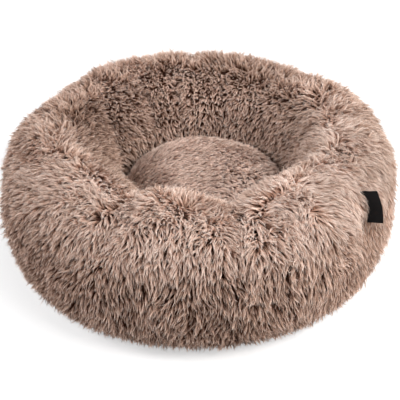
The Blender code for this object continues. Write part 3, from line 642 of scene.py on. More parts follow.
# %% [markdown]
# ## Combing the rim
# Hair hangs down the walls, so the comb follows gravity along the skin. On the flat crest there
# is no downhill, and there the lie wanders with the noise, parts to both sides and makes a few
# whorls, where the hair points away from one spot. Each whorl is told by its place, its size and
# its strength, and the three at the front show most. Zones then say where the fur has a length or
# a density of its own, and where light and shade are painted into its tone and its roots: each
# zone is a soft share from 0 to 1 over a part of the rim, and one table holds each size of the fur
# with what every zone adds to it.

# %% The comb of the rim
WHORLS = (
    (-0.134, -0.216, 0.036, 0.5), (0.045, -0.261, 0.032, 0.3), (0.177, -0.197, 0.050, 0.6),
    (-0.110, 0.200, 0.030, 0.4), (0.150, 0.160, 0.035, 0.4))
WHORL_EYE = 0.016
DOWN_PULL = 1.15
PARTING_PULL = 0.30
PARTING_SHIFT = 0.014
PARTING_WIDTH = 0.030


def comb_rim(place, normal):
    """The flow of the rim's hair, weak where it stands up."""
    down = np.zeros_like(place)
    down[:, 2] = -1.0
    flow = DOWN_PULL * along_skin(down, normal)
    radius = np.maximum(np.hypot(place[:, 0], place[:, 1]), TINY)
    outward = place * np.array([1.0, 1.0, 0.0]) / radius[:, None]
    parting = np.tanh((radius - ring_radius + PARTING_SHIFT) / PARTING_WIDTH)
    flow += PARTING_PULL * outward * parting[:, None]
    flow += 0.34 * wave_vectors(place, 0.110, 11) + 0.30 * wave_vectors(place, 0.040, 21)
    for x, y, size, strength in WHORLS:
        off = place - np.array([x, y, 0.0])
        off[:, 2] = 0.0
        distance = np.maximum(np.linalg.norm(off, axis=1), TINY)
        fade = np.exp(-(distance / size) ** 2) * np.minimum(distance / WHORL_EYE, 1.0)
        flow += off * (strength * fade / distance)[:, None]
    return along_skin(flow, normal)


def spot(x, y, middle_x, middle_y, size):
    """A share that is 1 over one spot of the bed and fades away round it."""
    return np.exp(-((x - middle_x) ** 2 + (y - middle_y) ** 2) / size ** 2)


def rim_zones(place):
    """Shares of each part of the rim whose fur has a length or a lie of its own, and where light and shade
    are painted into its tone.
    """
    x, y, z = place.T
    radius = np.hypot(x, y)
    inner = soft_step(0.188 - radius, 0.0, 0.008)
    front = soft_step(0.02 - y, 0.0, 0.03)
    # Where light and shade are painted: the shade zone on the left inner wall, the far wall, the far top and
    # the right edge are painted darker, and the brow and the two lips are painted lighter. Apart from the
    # shade zone, these zones change nothing else.
    in_fold = spot(x, y, -0.205, 0.035, 0.055)
    shade = soft_step(0.182 + 0.036 * in_fold - radius, 0.0, 0.004)
    shade *= soft_step(-x, 0.07, 0.02) * (1.0 - 0.55 * soft_step(y, 0.065, 0.012))
    painted_light_brow = soft_step(x, 0.13, 0.015) * np.exp(-((radius - ring_radius) / 0.018) ** 2)
    lip = spot(x, y, 0.115, -0.185, 0.045) + spot(x, y, -0.140, -0.145, 0.040)
    painted_shade_far_top = soft_step(y, 0.13, 0.015) * soft_step(x, -0.02, 0.02)
    return {
        "inner": inner,
        "hidden": inner * soft_step(0.092 - z, 0.0, 0.004),
        "crest": (1.0 - inner) * front * soft_step(z, 0.158, 0.008),
        "low": front * soft_step(radius, 0.225, 0.008) * soft_step(0.135 - z, 0.0, 0.010),
        "foot": soft_step(radius, 0.215, 0.006) * soft_step(0.048 - z, 0.0, 0.007),
        "right": soft_step(x, 0.17, 0.03) * soft_step(0.05 - y, 0.0, 0.04),
        "left": soft_step(-x, 0.20, 0.03),
        "back": soft_step(y, 0.07, 0.03) * soft_step(z, 0.120, 0.015),
        "shade": shade,
        "painted_light_brow": painted_light_brow * soft_step(z, 0.180, 0.008),
        "lip": lip * soft_step(z, 0.150, 0.010),
        "painted_shade_far_wall": inner * soft_step(x, 0.08, 0.02),
        "painted_shade_far_top": painted_shade_far_top * soft_step(z, 0.192, 0.006),
        "painted_shade_right_edge": soft_step(x, 0.245, 0.010) * soft_step(z, 0.125, 0.015)}


print("whorls", len(WHORLS))

# %% Sow the rim's locks
OVERSHOOT = 0.0015
LABEL_PLACE = np.array([0.246, -0.146, 0.146])
LABEL_SPREAD = np.array([0.024, 0.020, 0.030])
RIM_PILE_PIECES = 10
DEEPEST = 0.0140
FOOT_SHALLOWER = 0.0050
MIDDLE_TONE = 0.5
TONE_LIMITS = (0.02, 0.98)
FUR = {
    "spacing": (0.0042, dict(
        inner=-0.0008, crest=-0.0003, back=-0.0003, hidden=0.0024, left=-0.0006, right=-0.0003,
        foot=-0.0012)),
    "depth": (0.0140, dict(inner=-0.0035, left=-0.003, right=-0.002, back=-0.0015)),
    "uneven_rise": (0.0024, dict(
        inner=-0.0008, left=-0.0002, right=-0.0012, low=0.0008, back=0.0004, shade=0.0004)),
    "stray": (0.30, dict(inner=0.20, back=0.20, right=-0.16, left=0.04, crest=0.04, foot=0.25)),
    "turning": (0.42, dict(
        inner=0.50, back=0.35, right=-0.20, left=0.15, crest=0.12, low=0.08, foot=0.35)),
    "length": (0.0240, dict(
        inner=-0.0085, left=-0.0075, right=0.006, back=-0.003, low=-0.003, foot=-0.007)),
    "lift": (64.0, dict(right=-20.0, left=-8.0, crest=-10.0)),
    "strands": (5.9, dict(
        inner=-0.7, back=-0.3, hidden=-1.6, right=0.6, crest=0.5, low=-1.2, foot=-1.0, left=-0.7)),
    "clump": (0.82, dict(
        inner=-0.08, right=-0.20, crest=-0.12, low=0.10, foot=-0.16, back=0.05, left=0.06)),
    "width": (0.00096, dict(
        inner=-0.00016, back=-0.0001, left=-0.0001, crest=0.00006, foot=-0.00012)),
    "tone_spread": (0.09, dict(low=0.12, left=0.10, right=-0.01, inner=0.03, shade=0.01)),
    # The tone row is painted light and painted shade: it makes each zone of the rim lighter or darker in
    # colour.
    "tone": (0.0, dict(
        crest=0.08, shade=-0.50, foot=-0.06, low=0.18, right=-0.15, inner=0.20, back=0.12,
        left=-0.11, painted_light_brow=0.08, lip=0.09, painted_shade_far_wall=-0.27, painted_shade_far_top=-0.28, painted_shade_right_edge=-0.26)),
    # The first paint row paints light and shade at the roots: a higher first paint starts a root further up
    # the ramp and so lighter, as on the crest, the brow and the lips, and a lower one darker, as low on the
    # front and in the shade.
    "root_start_with_painted_light": (0.03, dict(
        crest=0.32, right=0.08, back=0.03, low=-0.16, left=-0.08, shade=-0.10, painted_light_brow=0.24,
        lip=0.16, painted_shade_far_top=-0.03))}


def zoned(zones, size):
    """A size of the fur: its base and what each zone adds to it."""
    base, changes = FUR[size]
    return base + sum(change * zones[name] for name, change in changes.items())


def rim_pile_depth(place, push):
    """How deep the roots lie below the tips, kept above the liner that the cover is drawn over."""
    depth = zoned(rim_zones(place), "depth")
    near_foot = soft_step(0.065 - place[:, 2], 0.0, 0.010)
    return np.minimum(depth, DEEPEST - FOOT_SHALLOWER * near_foot + push)


def lock_spacing_rim(place):
    """Distance between locks: smaller where the fur is short, larger where it is hidden."""
    return zoned(rim_zones(place), "spacing")


draws = np.random.default_rng(5)
lock_a, lock_b = rim_pelt.sown(lock_spacing_rim, 3)
lock_place = rim_pelt.at(rim_pelt.points, lock_a, lock_b)
zones = rim_zones(lock_place)
lock_count = len(lock_a)
uneven = draws.uniform(0.80, 1.15, lock_count) * (1.0 + 0.12 * wave_noise(lock_place, 0.05, 31))
push = rim_pelt.at(rim_push[..., None], lock_a, lock_b)[:, 0]
depth = rim_pile_depth(lock_place, push)
rise = depth + OVERSHOOT + zoned(zones, "uneven_rise") * draws.normal(0.0, 1.0, lock_count)
rise += 0.0014 * wave_noise(lock_place, 0.014, 36)
beside_label = np.exp(-((lock_place - LABEL_PLACE) ** 2 / LABEL_SPREAD ** 2).sum(1))
rise *= 1.0 - 0.80 * beside_label
locks = {
    "length": uneven * zoned(zones, "length"),
    "lift": np.radians(zoned(zones, "lift")),
    "settle": 0.62,
    "curl": draws.normal(0.0, 1.0, lock_count) * zoned(zones, "turning"),
    "wander": draws.normal(0.0, 1.0, (lock_count, 3)) * zoned(zones, "stray")[:, None],
    "rise": rise}
rim_paths = lock_paths(rim_pelt, lock_a, lock_b, comb_rim, locks)
print("locks on the rim:", lock_count)

# %% Strands of the rim
STRAND_ROOM = 0.64
LOWEST_FUR = 0.0008
UNDER_EDGE = 0.0045
UNDER_EDGE_RADIUS = 0.2604
OUTER_PART = 0.2


def moved_out(points, axis_x, scale):
    """Scale points away from an upright axis at y = 0, in place."""
    points[..., 0] = axis_x + (points[..., 0] - axis_x) * scale
    points[..., 1] *= scale


wanted = zoned(zones, "strands") + draws.normal(0.0, 1.0, lock_count)
root_a, root_b, lock_of = strand_roots(
    rim_pelt, lock_a, lock_b, wanted, lock_spacing_rim(lock_place) * STRAND_ROOM, draws)
root_b = np.clip(root_b, 0.0, AROUND - LAST_CELL)
strand_count = len(lock_of)
rim_looks = {
    "shortest": 0.62, "stray": 0.0007, "clump": zoned(zones, "clump"), "depth": depth,
    "roll": 0.75, "width": zoned(zones, "width")}
points, reach_share = strand_points(
    rim_pelt, root_a, root_b, lock_of, rim_paths, rim_looks, draws)
well_reach = np.hypot(points[..., 0] - well_x, points[..., 1])
least = cushion_radius + wall_clearance
squeeze = np.maximum(least / np.maximum(well_reach, TINY), 1.0)
moved_out(points, well_x, np.where(points[..., 2] < 0.9 * bed_height, squeeze, 1.0))
points[..., 2] = np.maximum(points[..., 2], LOWEST_FUR)
rim_reach = np.hypot(points[..., 0], points[..., 1])
under_edge = (points[..., 2] < UNDER_EDGE) & (rim_reach > OUTER_PART)
outwards = np.maximum(UNDER_EDGE_RADIUS / np.maximum(rim_reach, TINY), 1.0)
moved_out(points, 0.0, np.where(under_edge, outwards, 1.0))
tone = MIDDLE_TONE + 0.09 * draws.normal(0.0, 1.0, strand_count)
lock_tone_and_painted_shading = draws.normal(0.0, 1.0, lock_count) * zoned(zones, "tone_spread")
lock_tone_and_painted_shading += 0.08 * wave_noise(lock_place, 0.06, 51)
# The zones' tone is painted light and painted shade.
lock_tone_and_painted_shading += zoned(zones, "tone")
tone = np.clip(tone + lock_tone_and_painted_shading[lock_of], *TONE_LIMITS)
# Each strand's first paint carries the zones' painted light and shade at its root.
root_start_with_painted_light = zoned(zones, "root_start_with_painted_light")[lock_of]
print("strands on the rim:", strand_count, "triangles", 5 * strand_count)

# %% [markdown]
# ## Colours of the pile
# Plush is dyed in one colour, yet it never shows one: little light reaches the roots, so they are
# painted dark as painted shade, the tips are painted pale as painted light, and each strand has a
# tone of its own, to which the rim's zones add painted light and shade. The paint map of the blades
# holds just that, tone across and root to tip along, so one small node group turns it into colour,
# and the rim and the cushion share the group with colours of their own.

# %% A node group for pile


def new_group(name, inputs, outputs):
    """An empty shader node group with named sockets; returns it with its two ends."""
    group = bpy.data.node_groups.new(name, "ShaderNodeTree")
    for socket_name, kind, value in inputs:
        socket = group.interface.new_socket(name=socket_name, in_out="INPUT", socket_type=kind)
        socket.default_value = value
    for socket_name, kind in outputs:
        group.interface.new_socket(name=socket_name, in_out="OUTPUT", socket_type=kind)
    return group, group.nodes.new("NodeGroupInput"), group.nodes.new("NodeGroupOutput")


def feed(tree, socket, value):
    """Link an input to a socket, or set it to a value."""
    if isinstance(value, bpy.types.NodeSocket):
        tree.links.new(value, socket)
    else:
        socket.default_value = value


def mix_colours(tree, share, first, second, blend="MIX"):
    """A colour mix node; each input is a socket or a value."""
    node = tree.nodes.new("ShaderNodeMix")
    node.data_type = "RGBA"
    node.blend_type = blend
    for number, value in zip((0, 6, 7), (share, first, second)):
        feed(tree, node.inputs[number], value)
    return node.outputs[2]


def ranged(tree, value, low, high, to_low, to_high, smooth=False):
    """A map range node; each input is a socket or a number."""
    node = tree.nodes.new("ShaderNodeMapRange")
    if smooth:
        node.interpolation_type = "SMOOTHSTEP"
    names = ("Value", "From Min", "From Max", "To Min", "To Max")
    for name, number in zip(names, (value, low, high, to_low, to_high)):
        feed(tree, node.inputs[name], number)
    return node.outputs["Result"]


pile_group, ins, outs = new_group(
    "pile colour",
    (("Root", "NodeSocketColor", (0.1, 0.05, 0.04, 1.0)),
     ("Middle", "NodeSocketColor", (0.4, 0.25, 0.2, 1.0)),
     ("Tip", "NodeSocketColor", (0.6, 0.45, 0.35, 1.0)), ("Tone", "NodeSocketFloat", 0.5),
     ("Along", "NodeSocketFloat", 0.5)),
    (("Color", "NodeSocketColor"), ("Gloss", "NodeSocketFloat")))
# The dark root colour is painted shade and the pale tip colour is painted light, mixed along each strand.
low_share = ranged(pile_group, ins.outputs["Along"], 0.10, 0.66, 0.0, 1.0, smooth=True)
high_share = ranged(pile_group, ins.outputs["Along"], 0.48, 0.94, 0.0, 1.0, smooth=True)
lower = mix_colours(pile_group, low_share, ins.outputs["Root"], ins.outputs["Middle"])
upper = mix_colours(pile_group, high_share, lower, ins.outputs["Tip"])
tint = mix_colours(
    pile_group, ins.outputs["Tone"], (0.665, 0.610, 0.570, 1.0), (1.335, 1.390, 1.430, 1.0))
toned = mix_colours(pile_group, 1.0, upper, tint, "MULTIPLY")
gloss = ranged(pile_group, ins.outputs["Along"], 0.1, 1.0, 0.80, 0.52)
pile_group.links.new(toned, outs.inputs["Color"])
pile_group.links.new(gloss, outs.inputs["Gloss"])
print("node group", pile_group.name)

# %% Pile materials


def pile_material(name, root, middle, tip):
    """A fur material that reads the blades' paint map."""
    made, tree, shader = new_material(name)
    paint = tree.nodes.new("ShaderNodeUVMap")
    paint.uv_map = "OFBake"
    parts = tree.nodes.new("ShaderNodeSeparateXYZ")
    group = tree.nodes.new("ShaderNodeGroup")
    group.node_tree = pile_group
    set_inputs(group, {"Root": (*root, 1.0), "Middle": (*middle, 1.0), "Tip": (*tip, 1.0)})
    tree.links.new(paint.outputs["UV"], parts.inputs["Vector"])
    tree.links.new(parts.outputs["X"], group.inputs["Tone"])
    tree.links.new(parts.outputs["Y"], group.inputs["Along"])
    tree.links.new(group.outputs["Color"], shader.inputs["Base Color"])
    tree.links.new(group.outputs["Gloss"], shader.inputs["Roughness"])
    set_inputs(shader, {"Specular IOR Level": 0.12, "Sheen Weight": 0.03, "Sheen Roughness": 0.5})
    return made


# Each pile's dark root is painted shade and its pale tip is painted light.
rim_pile_material = pile_material(
    "rim_pile", (0.110, 0.038, 0.018), (0.70, 0.468, 0.356), (0.89, 0.744, 0.660))
# The cushion's colours are painted lighter than the rim's: painted light that makes up for the shade of the
# well.
cushion_pile_material = pile_material(
    "cushion_pile", (0.60, 0.392, 0.300), (0.91, 0.694, 0.584), (0.97, 0.818, 0.732))
print("two pile materials")

# %% Rim pile in pieces


def pile_piece(name, blades, material, body):
    """An object made of blades (points, tone, reach, first paint), which rides on a body."""
    mesh = blade_mesh(name, *blades)
    mesh.materials.append(material)
    piece = linked(name, mesh)
    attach(piece, body)
    return piece


azimuth = np.arctan2(points[:, 0, 1], points[:, 0, 0])
order = np.argsort((azimuth - SEAM_TURN) % (2.0 * math.pi), kind="stable")
blades = (points, tone, reach_share, root_start_with_painted_light)
for index, chosen in enumerate(np.array_split(order, RIM_PILE_PIECES)):
    piece = pile_piece(
        f"rim_pile_{index + 1}", [part[chosen] for part in blades], rim_pile_material,
        "ring")
    print(piece.name, "strands", len(chosen))

# %% [markdown]
# ## Woven and knitted cloth
# The backing, the base, the binding, the label and the zip tapes are all threads that pass over
# and under each other. One group makes that: two waves across each other, switched by a
# checker, give the height of the threads, and a shade for each thread keeps them from being
# alike. The low hollows between the threads are painted darker, as painted shade. Each cloth sets
# its own thread size and colours.

# %% A node group for woven threads
weave_group, ins, outs = new_group(
    "woven threads",
    (("Vector", "NodeSocketVector", (0.0, 0.0, 0.0)), ("Threads", "NodeSocketFloat", 1000.0),
     ("Warp", "NodeSocketColor", (0.2, 0.2, 0.2, 1.0)),
     ("Weft", "NodeSocketColor", (0.1, 0.1, 0.1, 1.0)),
     ("Wear", "NodeSocketFloat", 0.3)),
    (("Color", "NodeSocketColor"), ("Height", "NodeSocketFloat"), ("Roughness", "NodeSocketFloat")))


def maths(tree, operation, first, second=0.0):
    """A math node; each input is a socket or a number."""
    node = tree.nodes.new("ShaderNodeMath")
    node.operation = operation
    for socket, value in zip(node.inputs, (first, second)):
        feed(tree, socket, value)
    return node.outputs["Value"]


def weave(operation, first, second=0.0):
    """A math node inside the weave group."""
    return maths(weave_group, operation, first, second)


parts = weave_group.nodes.new("ShaderNodeSeparateXYZ")
weave_group.links.new(ins.outputs["Vector"], parts.inputs["Vector"])
across = weave("MULTIPLY", parts.outputs["X"], ins.outputs["Threads"])
along = weave("MULTIPLY", parts.outputs["Y"], ins.outputs["Threads"])
cell = weave("ADD", weave("FLOOR", across), weave("FLOOR", along))
over = weave("ABSOLUTE", weave("MODULO", cell, 2.0))
ridge_across = weave("ABSOLUTE", weave("SINE", weave("MULTIPLY", across, math.pi)))
ridge_along = weave("ABSOLUTE", weave("SINE", weave("MULTIPLY", along, math.pi)))
one_way = weave("MULTIPLY", ridge_across, over)
other_way = weave("MULTIPLY", ridge_along, weave("SUBTRACT", 1.0, over))
height = weave("ADD", one_way, other_way)
slubs = weave_group.nodes.new("ShaderNodeTexNoise")
slubs.inputs["Scale"].default_value = 60.0
slubs.inputs["Detail"].default_value = 4.0
weave_group.links.new(ins.outputs["Vector"], slubs.inputs["Vector"])
thread = mix_colours(weave_group, over, ins.outputs["Weft"], ins.outputs["Warp"])
rub = ranged(weave_group, slubs.outputs["Fac"], 0.45, 0.75, 0.0, 1.0)
rubbed = weave("MULTIPLY", rub, ins.outputs["Wear"])
pale = mix_colours(weave_group, 0.35, thread, (0.8, 0.78, 0.75, 1.0))
worn = mix_colours(weave_group, rubbed, thread, pale)
# Painted shade: the colour is darkened where the threads are low, in the hollows between them.
gap = ranged(weave_group, height, 0.0, 0.7, 0.55, 0.0)
shaded = mix_colours(weave_group, gap, worn, (0.0, 0.0, 0.0, 1.0))
rough = ranged(weave_group, slubs.outputs["Fac"], 0.3, 0.7, 0.72, 0.94)
weave_group.links.new(shaded, outs.inputs["Color"])
weave_group.links.new(height, outs.inputs["Height"])
weave_group.links.new(rough, outs.inputs["Roughness"])
print("node group", weave_group.name)

# %% Cloth materials


def group_material(name, group_tree, settings, bump, depth, flat_size=None):
    """A material whose colour, roughness and relief come from a node group.

    Its pattern lies on Object coordinates, or on the map of a flat cut of this size.
    """
    made, tree, shader = new_material(name)
    coordinates = tree.nodes.new("ShaderNodeTexCoord")
    group = tree.nodes.new("ShaderNodeGroup")
    group.node_tree = group_tree
    set_inputs(group, settings)
    relief = tree.nodes.new("ShaderNodeBump")
    set_inputs(relief, {"Strength": bump, "Distance": depth})
    place = coordinates.outputs["Object"]
    if flat_size:
        sized = tree.nodes.new("ShaderNodeVectorMath")
        sized.operation = "MULTIPLY"
        sized.inputs[1].default_value = (*flat_size, 1.0)
        tree.links.new(coordinates.outputs["UV"], sized.inputs[0])
        place = sized.outputs["Vector"]
    tree.links.new(place, group.inputs["Vector"])
    tree.links.new(group.outputs["Color"], shader.inputs["Base Color"])
    tree.links.new(group.outputs["Roughness"], shader.inputs["Roughness"])
    tree.links.new(group.outputs["Height"], relief.inputs["Height"])
    tree.links.new(relief.outputs["Normal"], shader.inputs["Normal"])
    return made


def woven_material(name, warp, weft, thread_size, wear=0.3, bump=0.4, flat_size=None):
    """A cloth whose threads are thread_size apart."""
    settings = {
        "Threads": 1.0 / thread_size, "Warp": (*warp, 1.0), "Weft": (*weft, 1.0), "Wear": wear}
    return group_material(name, weave_group, settings, bump, 0.35 * thread_size, flat_size)


# The backing's dark brown is painted shade: little light reaches the ground between the locks.
backing_material = woven_material(
    "knitted_backing", (0.095, 0.036, 0.019), (0.075, 0.028, 0.015), 0.0012, wear=0.0)
lining_material = woven_material(
    "cushion_lining", (0.36, 0.245, 0.195), (0.29, 0.190, 0.150), 0.0007, wear=0.15)
print("cloth materials", backing_material.name, lining_material.name)

# %% [markdown]
# ## The rim's backing cloth
# Under the pile lies the knitted backing. A flat grid is added for each panel and every point of
# it is laid on the pelt, a pile's depth below the tips; Solidify then gives it the thickness of
# cloth. It shows only as the dark ground between the locks.

# %% Backing cloth from rolled grids
BACKING_THICKNESS = 0.0008


def rolled_grid(name, points):
    """A grid primitive whose points are laid on the rows and columns of an array."""
    rows, columns = points.shape[:2]
    deselect_all()
    bpy.ops.mesh.primitive_grid_add(x_subdivisions=rows - 1, y_subdivisions=columns - 1, size=2.0)
    piece = bpy.context.object
    piece.name = name
    piece.data.name = name
    flat = points_of(piece.data)
    row = np.rint((flat[:, 0] + 1.0) * 0.5 * (rows - 1)).astype(int)
    column = np.rint((flat[:, 1] + 1.0) * 0.5 * (columns - 1)).astype(int)
    set_points(piece.data, points[row, column])
    return piece


def solidified(piece, thickness, offset=-1.0):
    """Give a sheet its thickness."""
    modifier = piece.modifiers.new("thickness", "SOLIDIFY")
    modifier.thickness = thickness
    modifier.offset = offset
    apply_all(piece)
    return piece


skin_depth = rim_pile_depth(rim_outside.reshape(-1, 3), rim_push.ravel()).reshape(TURNS, AROUND)
rim_skin = rim_pelt.points - rim_pelt.normals * skin_depth[..., None]
half_turns = TURNS // 2
back_rows = np.arange(0, half_turns + 1)
front_rows = np.arange(half_turns, TURNS + 1) % TURNS
for name, rows in (("rim_backing_back", back_rows), ("rim_backing_front", front_rows)):
    piece = rolled_grid(name, rim_skin[rows[::2], ::2])
    solidified(piece, BACKING_THICKNESS)
    piece.data.materials.clear()
    piece.data.materials.append(backing_material)
    bpy.ops.object.shade_smooth()
    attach(piece, "ring")
    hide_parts(name.replace("backing", "cover"))
    print(name, len(piece.data.polygons), "faces")

# %% [markdown]
# ## The loose cushion
# The cushion is a bag of fibre: a plush crown sewn to a plain cloth base. A sphere is drawn onto
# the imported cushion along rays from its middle, remeshed into even voxels and blown up by a cloth
# simulation with pressure, so that its faces bulge as a stuffed bag's do. The same rays then
# read the blown-up bag: its upper half is the plush skin, and its lower half the plain cloth.

# %% A stuffed bag by cloth pressure
CUSHION_MIDDLE = Vector((well_x, 0.0, cushion_low.z + 0.0002))
RAY_START = 0.4
START_SHARE = 0.985
CROWN_FULLER = 0.10
FULLEST_AT = 0.68
PRESSURE = 4.0
VOXEL = 0.005
SWELL_LIMIT = 0.005
SIMULATION_FRAMES = 18


def tree_of(source):
    """A search tree of a bmesh, which is freed."""
    tree = BVHTree.FromBMesh(source)
    source.free()
    return tree


def outermost(tree, way):
    """Where a ray from outside to the cushion's middle meets a tree first, or None."""
    return tree.ray_cast(CUSHION_MIDDLE + RAY_START * way, -way)[0]


def drawn_sphere(name, tree, segments, rings):
    """A sphere primitive whose points are drawn along rays onto the outside of a tree."""
    deselect_all()
    bpy.ops.mesh.primitive_uv_sphere_add(segments=segments, ring_count=rings, radius=1.0)
    ball = bpy.context.object
    ball.name = name
    ball.data.name = name
    ways = points_of(ball.data)
    drawn = np.empty_like(ways)
    for index, way in enumerate(ways):
        way = Vector(way).normalized()
        drawn[index] = outermost(tree, way) or CUSHION_MIDDLE + cushion_radius * way
    set_points(ball.data, drawn)
    return ball


def swollen(body, pressure):
    """Blow a closed body up by cloth pressure, each point by no more than the limit."""
    rest = points_of(body.data)
    cloth = body.modifiers.new("cloth", "CLOTH")
    cloth.settings.quality = 5
    cloth.settings.mass = 0.3
    cloth.settings.tension_stiffness = 15.0
    cloth.settings.use_pressure = True
    cloth.settings.uniform_pressure_force = pressure
    cloth.settings.effector_weights.gravity = 0.0
    cloth.point_cache.frame_end = SIMULATION_FRAMES
    scene = bpy.context.scene
    for step in range(1, SIMULATION_FRAMES + 1):
        scene.frame_set(step)
    apply_all(body)
    scene.frame_set(1)
    moved = points_of(body.data) - rest
    far = np.linalg.norm(moved, axis=1)
    keep = np.minimum(1.0, SWELL_LIMIT / np.maximum(far, TINY))
    set_points(body.data, rest + moved * keep[:, None])
    print(body.name, "swelled by up to", round(float(far.max()) * 1000, 1), "mm, kept to", 1000 * SWELL_LIMIT)


cushion_tree = tree_of(merged_copy(("cushion_cover_top", "cushion_cover_base")))
bag = drawn_sphere("cushion_bag", cushion_tree, 96, 48)
middle = np.array(CUSHION_MIDDLE)
crown_rise = cushion_high.z - CUSHION_MIDDLE.z


def kept_in_well(points):
    """Bag points kept inside the well's wall and above its lining."""
    kept = points.copy()
    out = np.hypot(points[:, 0] - well_x, points[:, 1])
    moved_out(kept, well_x, np.minimum(0.999 * cushion_radius / np.maximum(out, TINY), 1.0))
    kept[:, 2] = np.maximum(kept[:, 2], base_low.z)
    return kept


offset = START_SHARE * (points_of(bag.data) - middle)
out_share = np.hypot(offset[:, 0], offset[:, 1]) / cushion_radius
up_share = np.clip(offset[:, 2] / crown_rise, 0.0, 1.0)
fuller = 1.0 + CROWN_FULLER * np.minimum(out_share * up_share / FULLEST_AT, 1.0) ** 2
set_points(bag.data, kept_in_well(middle + offset * fuller[:, None]))
remesh = bag.modifiers.new("voxels", "REMESH")
remesh.mode = "VOXEL"
remesh.voxel_size = VOXEL
apply_all(bag)
swollen(bag, PRESSURE)
subdivision = bag.modifiers.new("finer", "SUBSURF")
subdivision.levels = 1
subdivision.render_levels = 1
apply_all(bag)
set_points(bag.data, kept_in_well(points_of(bag.data)))
bag_mesh = bmesh.new()
bag_mesh.from_mesh(bag.data)
bag_tree = tree_of(bag_mesh)
bpy.data.objects.remove(bag, do_unlink=True)
print("cushion bag ready, middle at height", round(CUSHION_MIDDLE.z, 4))

# %% The cushion's upper skin as a pelt
DISC = 121
WIDEST_SPOKE = math.radians(92.0)
CUSHION_PILE_DEPTH = 0.0060

steps = np.linspace(-1.0, 1.0, DISC)
across, along = np.meshgrid(steps, steps, indexing="ij")
tilt = np.hypot(across, along) * WIDEST_SPOKE
turn = np.arctan2(along, across)
ways = np.stack([np.cos(turn) * np.sin(tilt), np.sin(turn) * np.sin(tilt), np.cos(tilt)], -1)
cushion_outside = np.empty((DISC, DISC, 3))
for row, column in np.ndindex(DISC, DISC):
    way = Vector(ways[row, column])
    met = outermost(bag_tree, way)
    cushion_outside[row, column] = met or CUSHION_MIDDLE + cushion_radius * way
cushion_outside = blurred(cushion_outside, (1.0, 1.0), (False, False))
cushion_pelt = Pelt(cushion_outside, (False, False))
print("cushion top", round(float(cushion_outside[..., 2].max()), 4))

# %% The cushion's two cloths
BASE_PUCKERS = 46
PUCKER_DEPTH = 0.0011


def half_of(ball, upper):
    """Keep the half of a drawn sphere above or below the seam."""
    mesh = bmesh.new()
    mesh.from_mesh(ball.data)
    seam = CUSHION_MIDDLE.z
    spare = [face for face in mesh.faces if (face.calc_center_median().z > seam) != upper]
    bmesh.ops.delete(mesh, geom=spare, context="FACES")
    mesh.to_mesh(ball.data)
    mesh.free()


def no_thinner(points, tree):
    """Points moved out to a tree's surface wherever they lie inside it."""
    moved = points.copy()
    for index, point in enumerate(points):
        offset = Vector(point) - CUSHION_MIDDLE
        met = outermost(tree, offset.normalized())
        if met and (met - CUSHION_MIDDLE).length > offset.length:
            moved[index] = met
    return moved


skin = drawn_sphere("cushion_backing", bag_tree, 128, 64)
half_of(skin, True)
skin_points = points_of(skin.data)
outward = unit(skin_points - middle)
set_points(skin.data, skin_points - outward * CUSHION_PILE_DEPTH)
solidified(skin, BACKING_THICKNESS)
skin.data.materials.append(backing_material)
under = drawn_sphere("cushion_base_cloth", bag_tree, 192, 96)
half_of(under, False)
under_points = no_thinner(points_of(under.data), cushion_tree)
around = np.arctan2(under_points[:, 1], under_points[:, 0] - well_x)
out = np.hypot(under_points[:, 0] - well_x, under_points[:, 1])
near_seam = np.clip((out - 0.070) / 0.050, 0.0, 1.0) ** 2
ripple = np.sin(BASE_PUCKERS * around + 2.0 * wave_noise(under_points, 0.08, 91))
puckered = unit(under_points - middle) * (near_seam * PUCKER_DEPTH * (1.0 + ripple))[:, None]
set_points(under.data, kept_in_well(under_points + puckered))
solidified(under, BACKING_THICKNESS)
under.data.materials.append(lining_material)
for piece, node, slot in (
        (skin, "cushion_cover_top", "cushion_fur"), (under, "cushion_cover_base", "lining_cloth")):
    activate(piece)
    bpy.ops.object.shade_smooth()
    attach(piece, "cushion")
    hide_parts(node)
    print(piece.name, "faces", len(piece.data.polygons))

# %% Comb and grow the cushion's pile
CUSHION_LOCK_SPACING = 0.0030
CUSHION_STRAND_ROOM = 0.68


def comb_cushion(place, normal):
    """The flow of the cushion's hair: across it at the left, and down to the front at the right."""
    down = np.zeros_like(place)
    down[:, 2] = -1.0
    right = soft_step(place[:, 0] - well_x, 0.010, 0.020)
    flow = np.stack([0.90 - 0.45 * right, -0.12 - 0.50 * right, np.zeros(len(place))], 1)
    flow += (0.25 + 0.45 * right)[:, None] * along_skin(down, normal)
    uneven = 0.20 * wave_vectors(place, 0.080, 61) + 0.16 * wave_vectors(place, 0.025, 71)
    return along_skin(flow + uneven * (0.6 + 0.8 * right)[:, None], normal)


def lock_spacing_cushion(place):
    """Distance between locks; none are sown below the seam."""
    below = place[:, 2] < CUSHION_MIDDLE.z + 0.002
    return np.where(below, 1.0, CUSHION_LOCK_SPACING)


draws = np.random.default_rng(15)
lock_a, lock_b = cushion_pelt.sown(lock_spacing_cushion, 13)
lock_place = cushion_pelt.at(cushion_pelt.points, lock_a, lock_b)
lock_count = len(lock_a)
smooth_left = soft_step(well_x - 0.01 - lock_place[:, 0], 0.0, 0.02)
edge = soft_step(0.098 - lock_place[:, 2], 0.0, 0.006)
depth = np.full(lock_count, CUSHION_PILE_DEPTH)
locks = {
    "length": (0.0150 - 0.0025 * smooth_left) * draws.uniform(0.8, 1.15, lock_count),
    "lift": np.radians(50.0 - 14.0 * smooth_left - 12.0 * edge),
    "settle": 0.75,
    "curl": draws.normal(0.0, 0.55, lock_count) * (1.0 - 0.5 * smooth_left),
    "wander": draws.normal(0.0, 1.0, (lock_count, 3)) * (0.34 - 0.20 * smooth_left)[:, None],
    "rise": depth + 0.0010 * draws.normal(0.8, 1.0, lock_count) * (1.0 - 0.6 * smooth_left)}
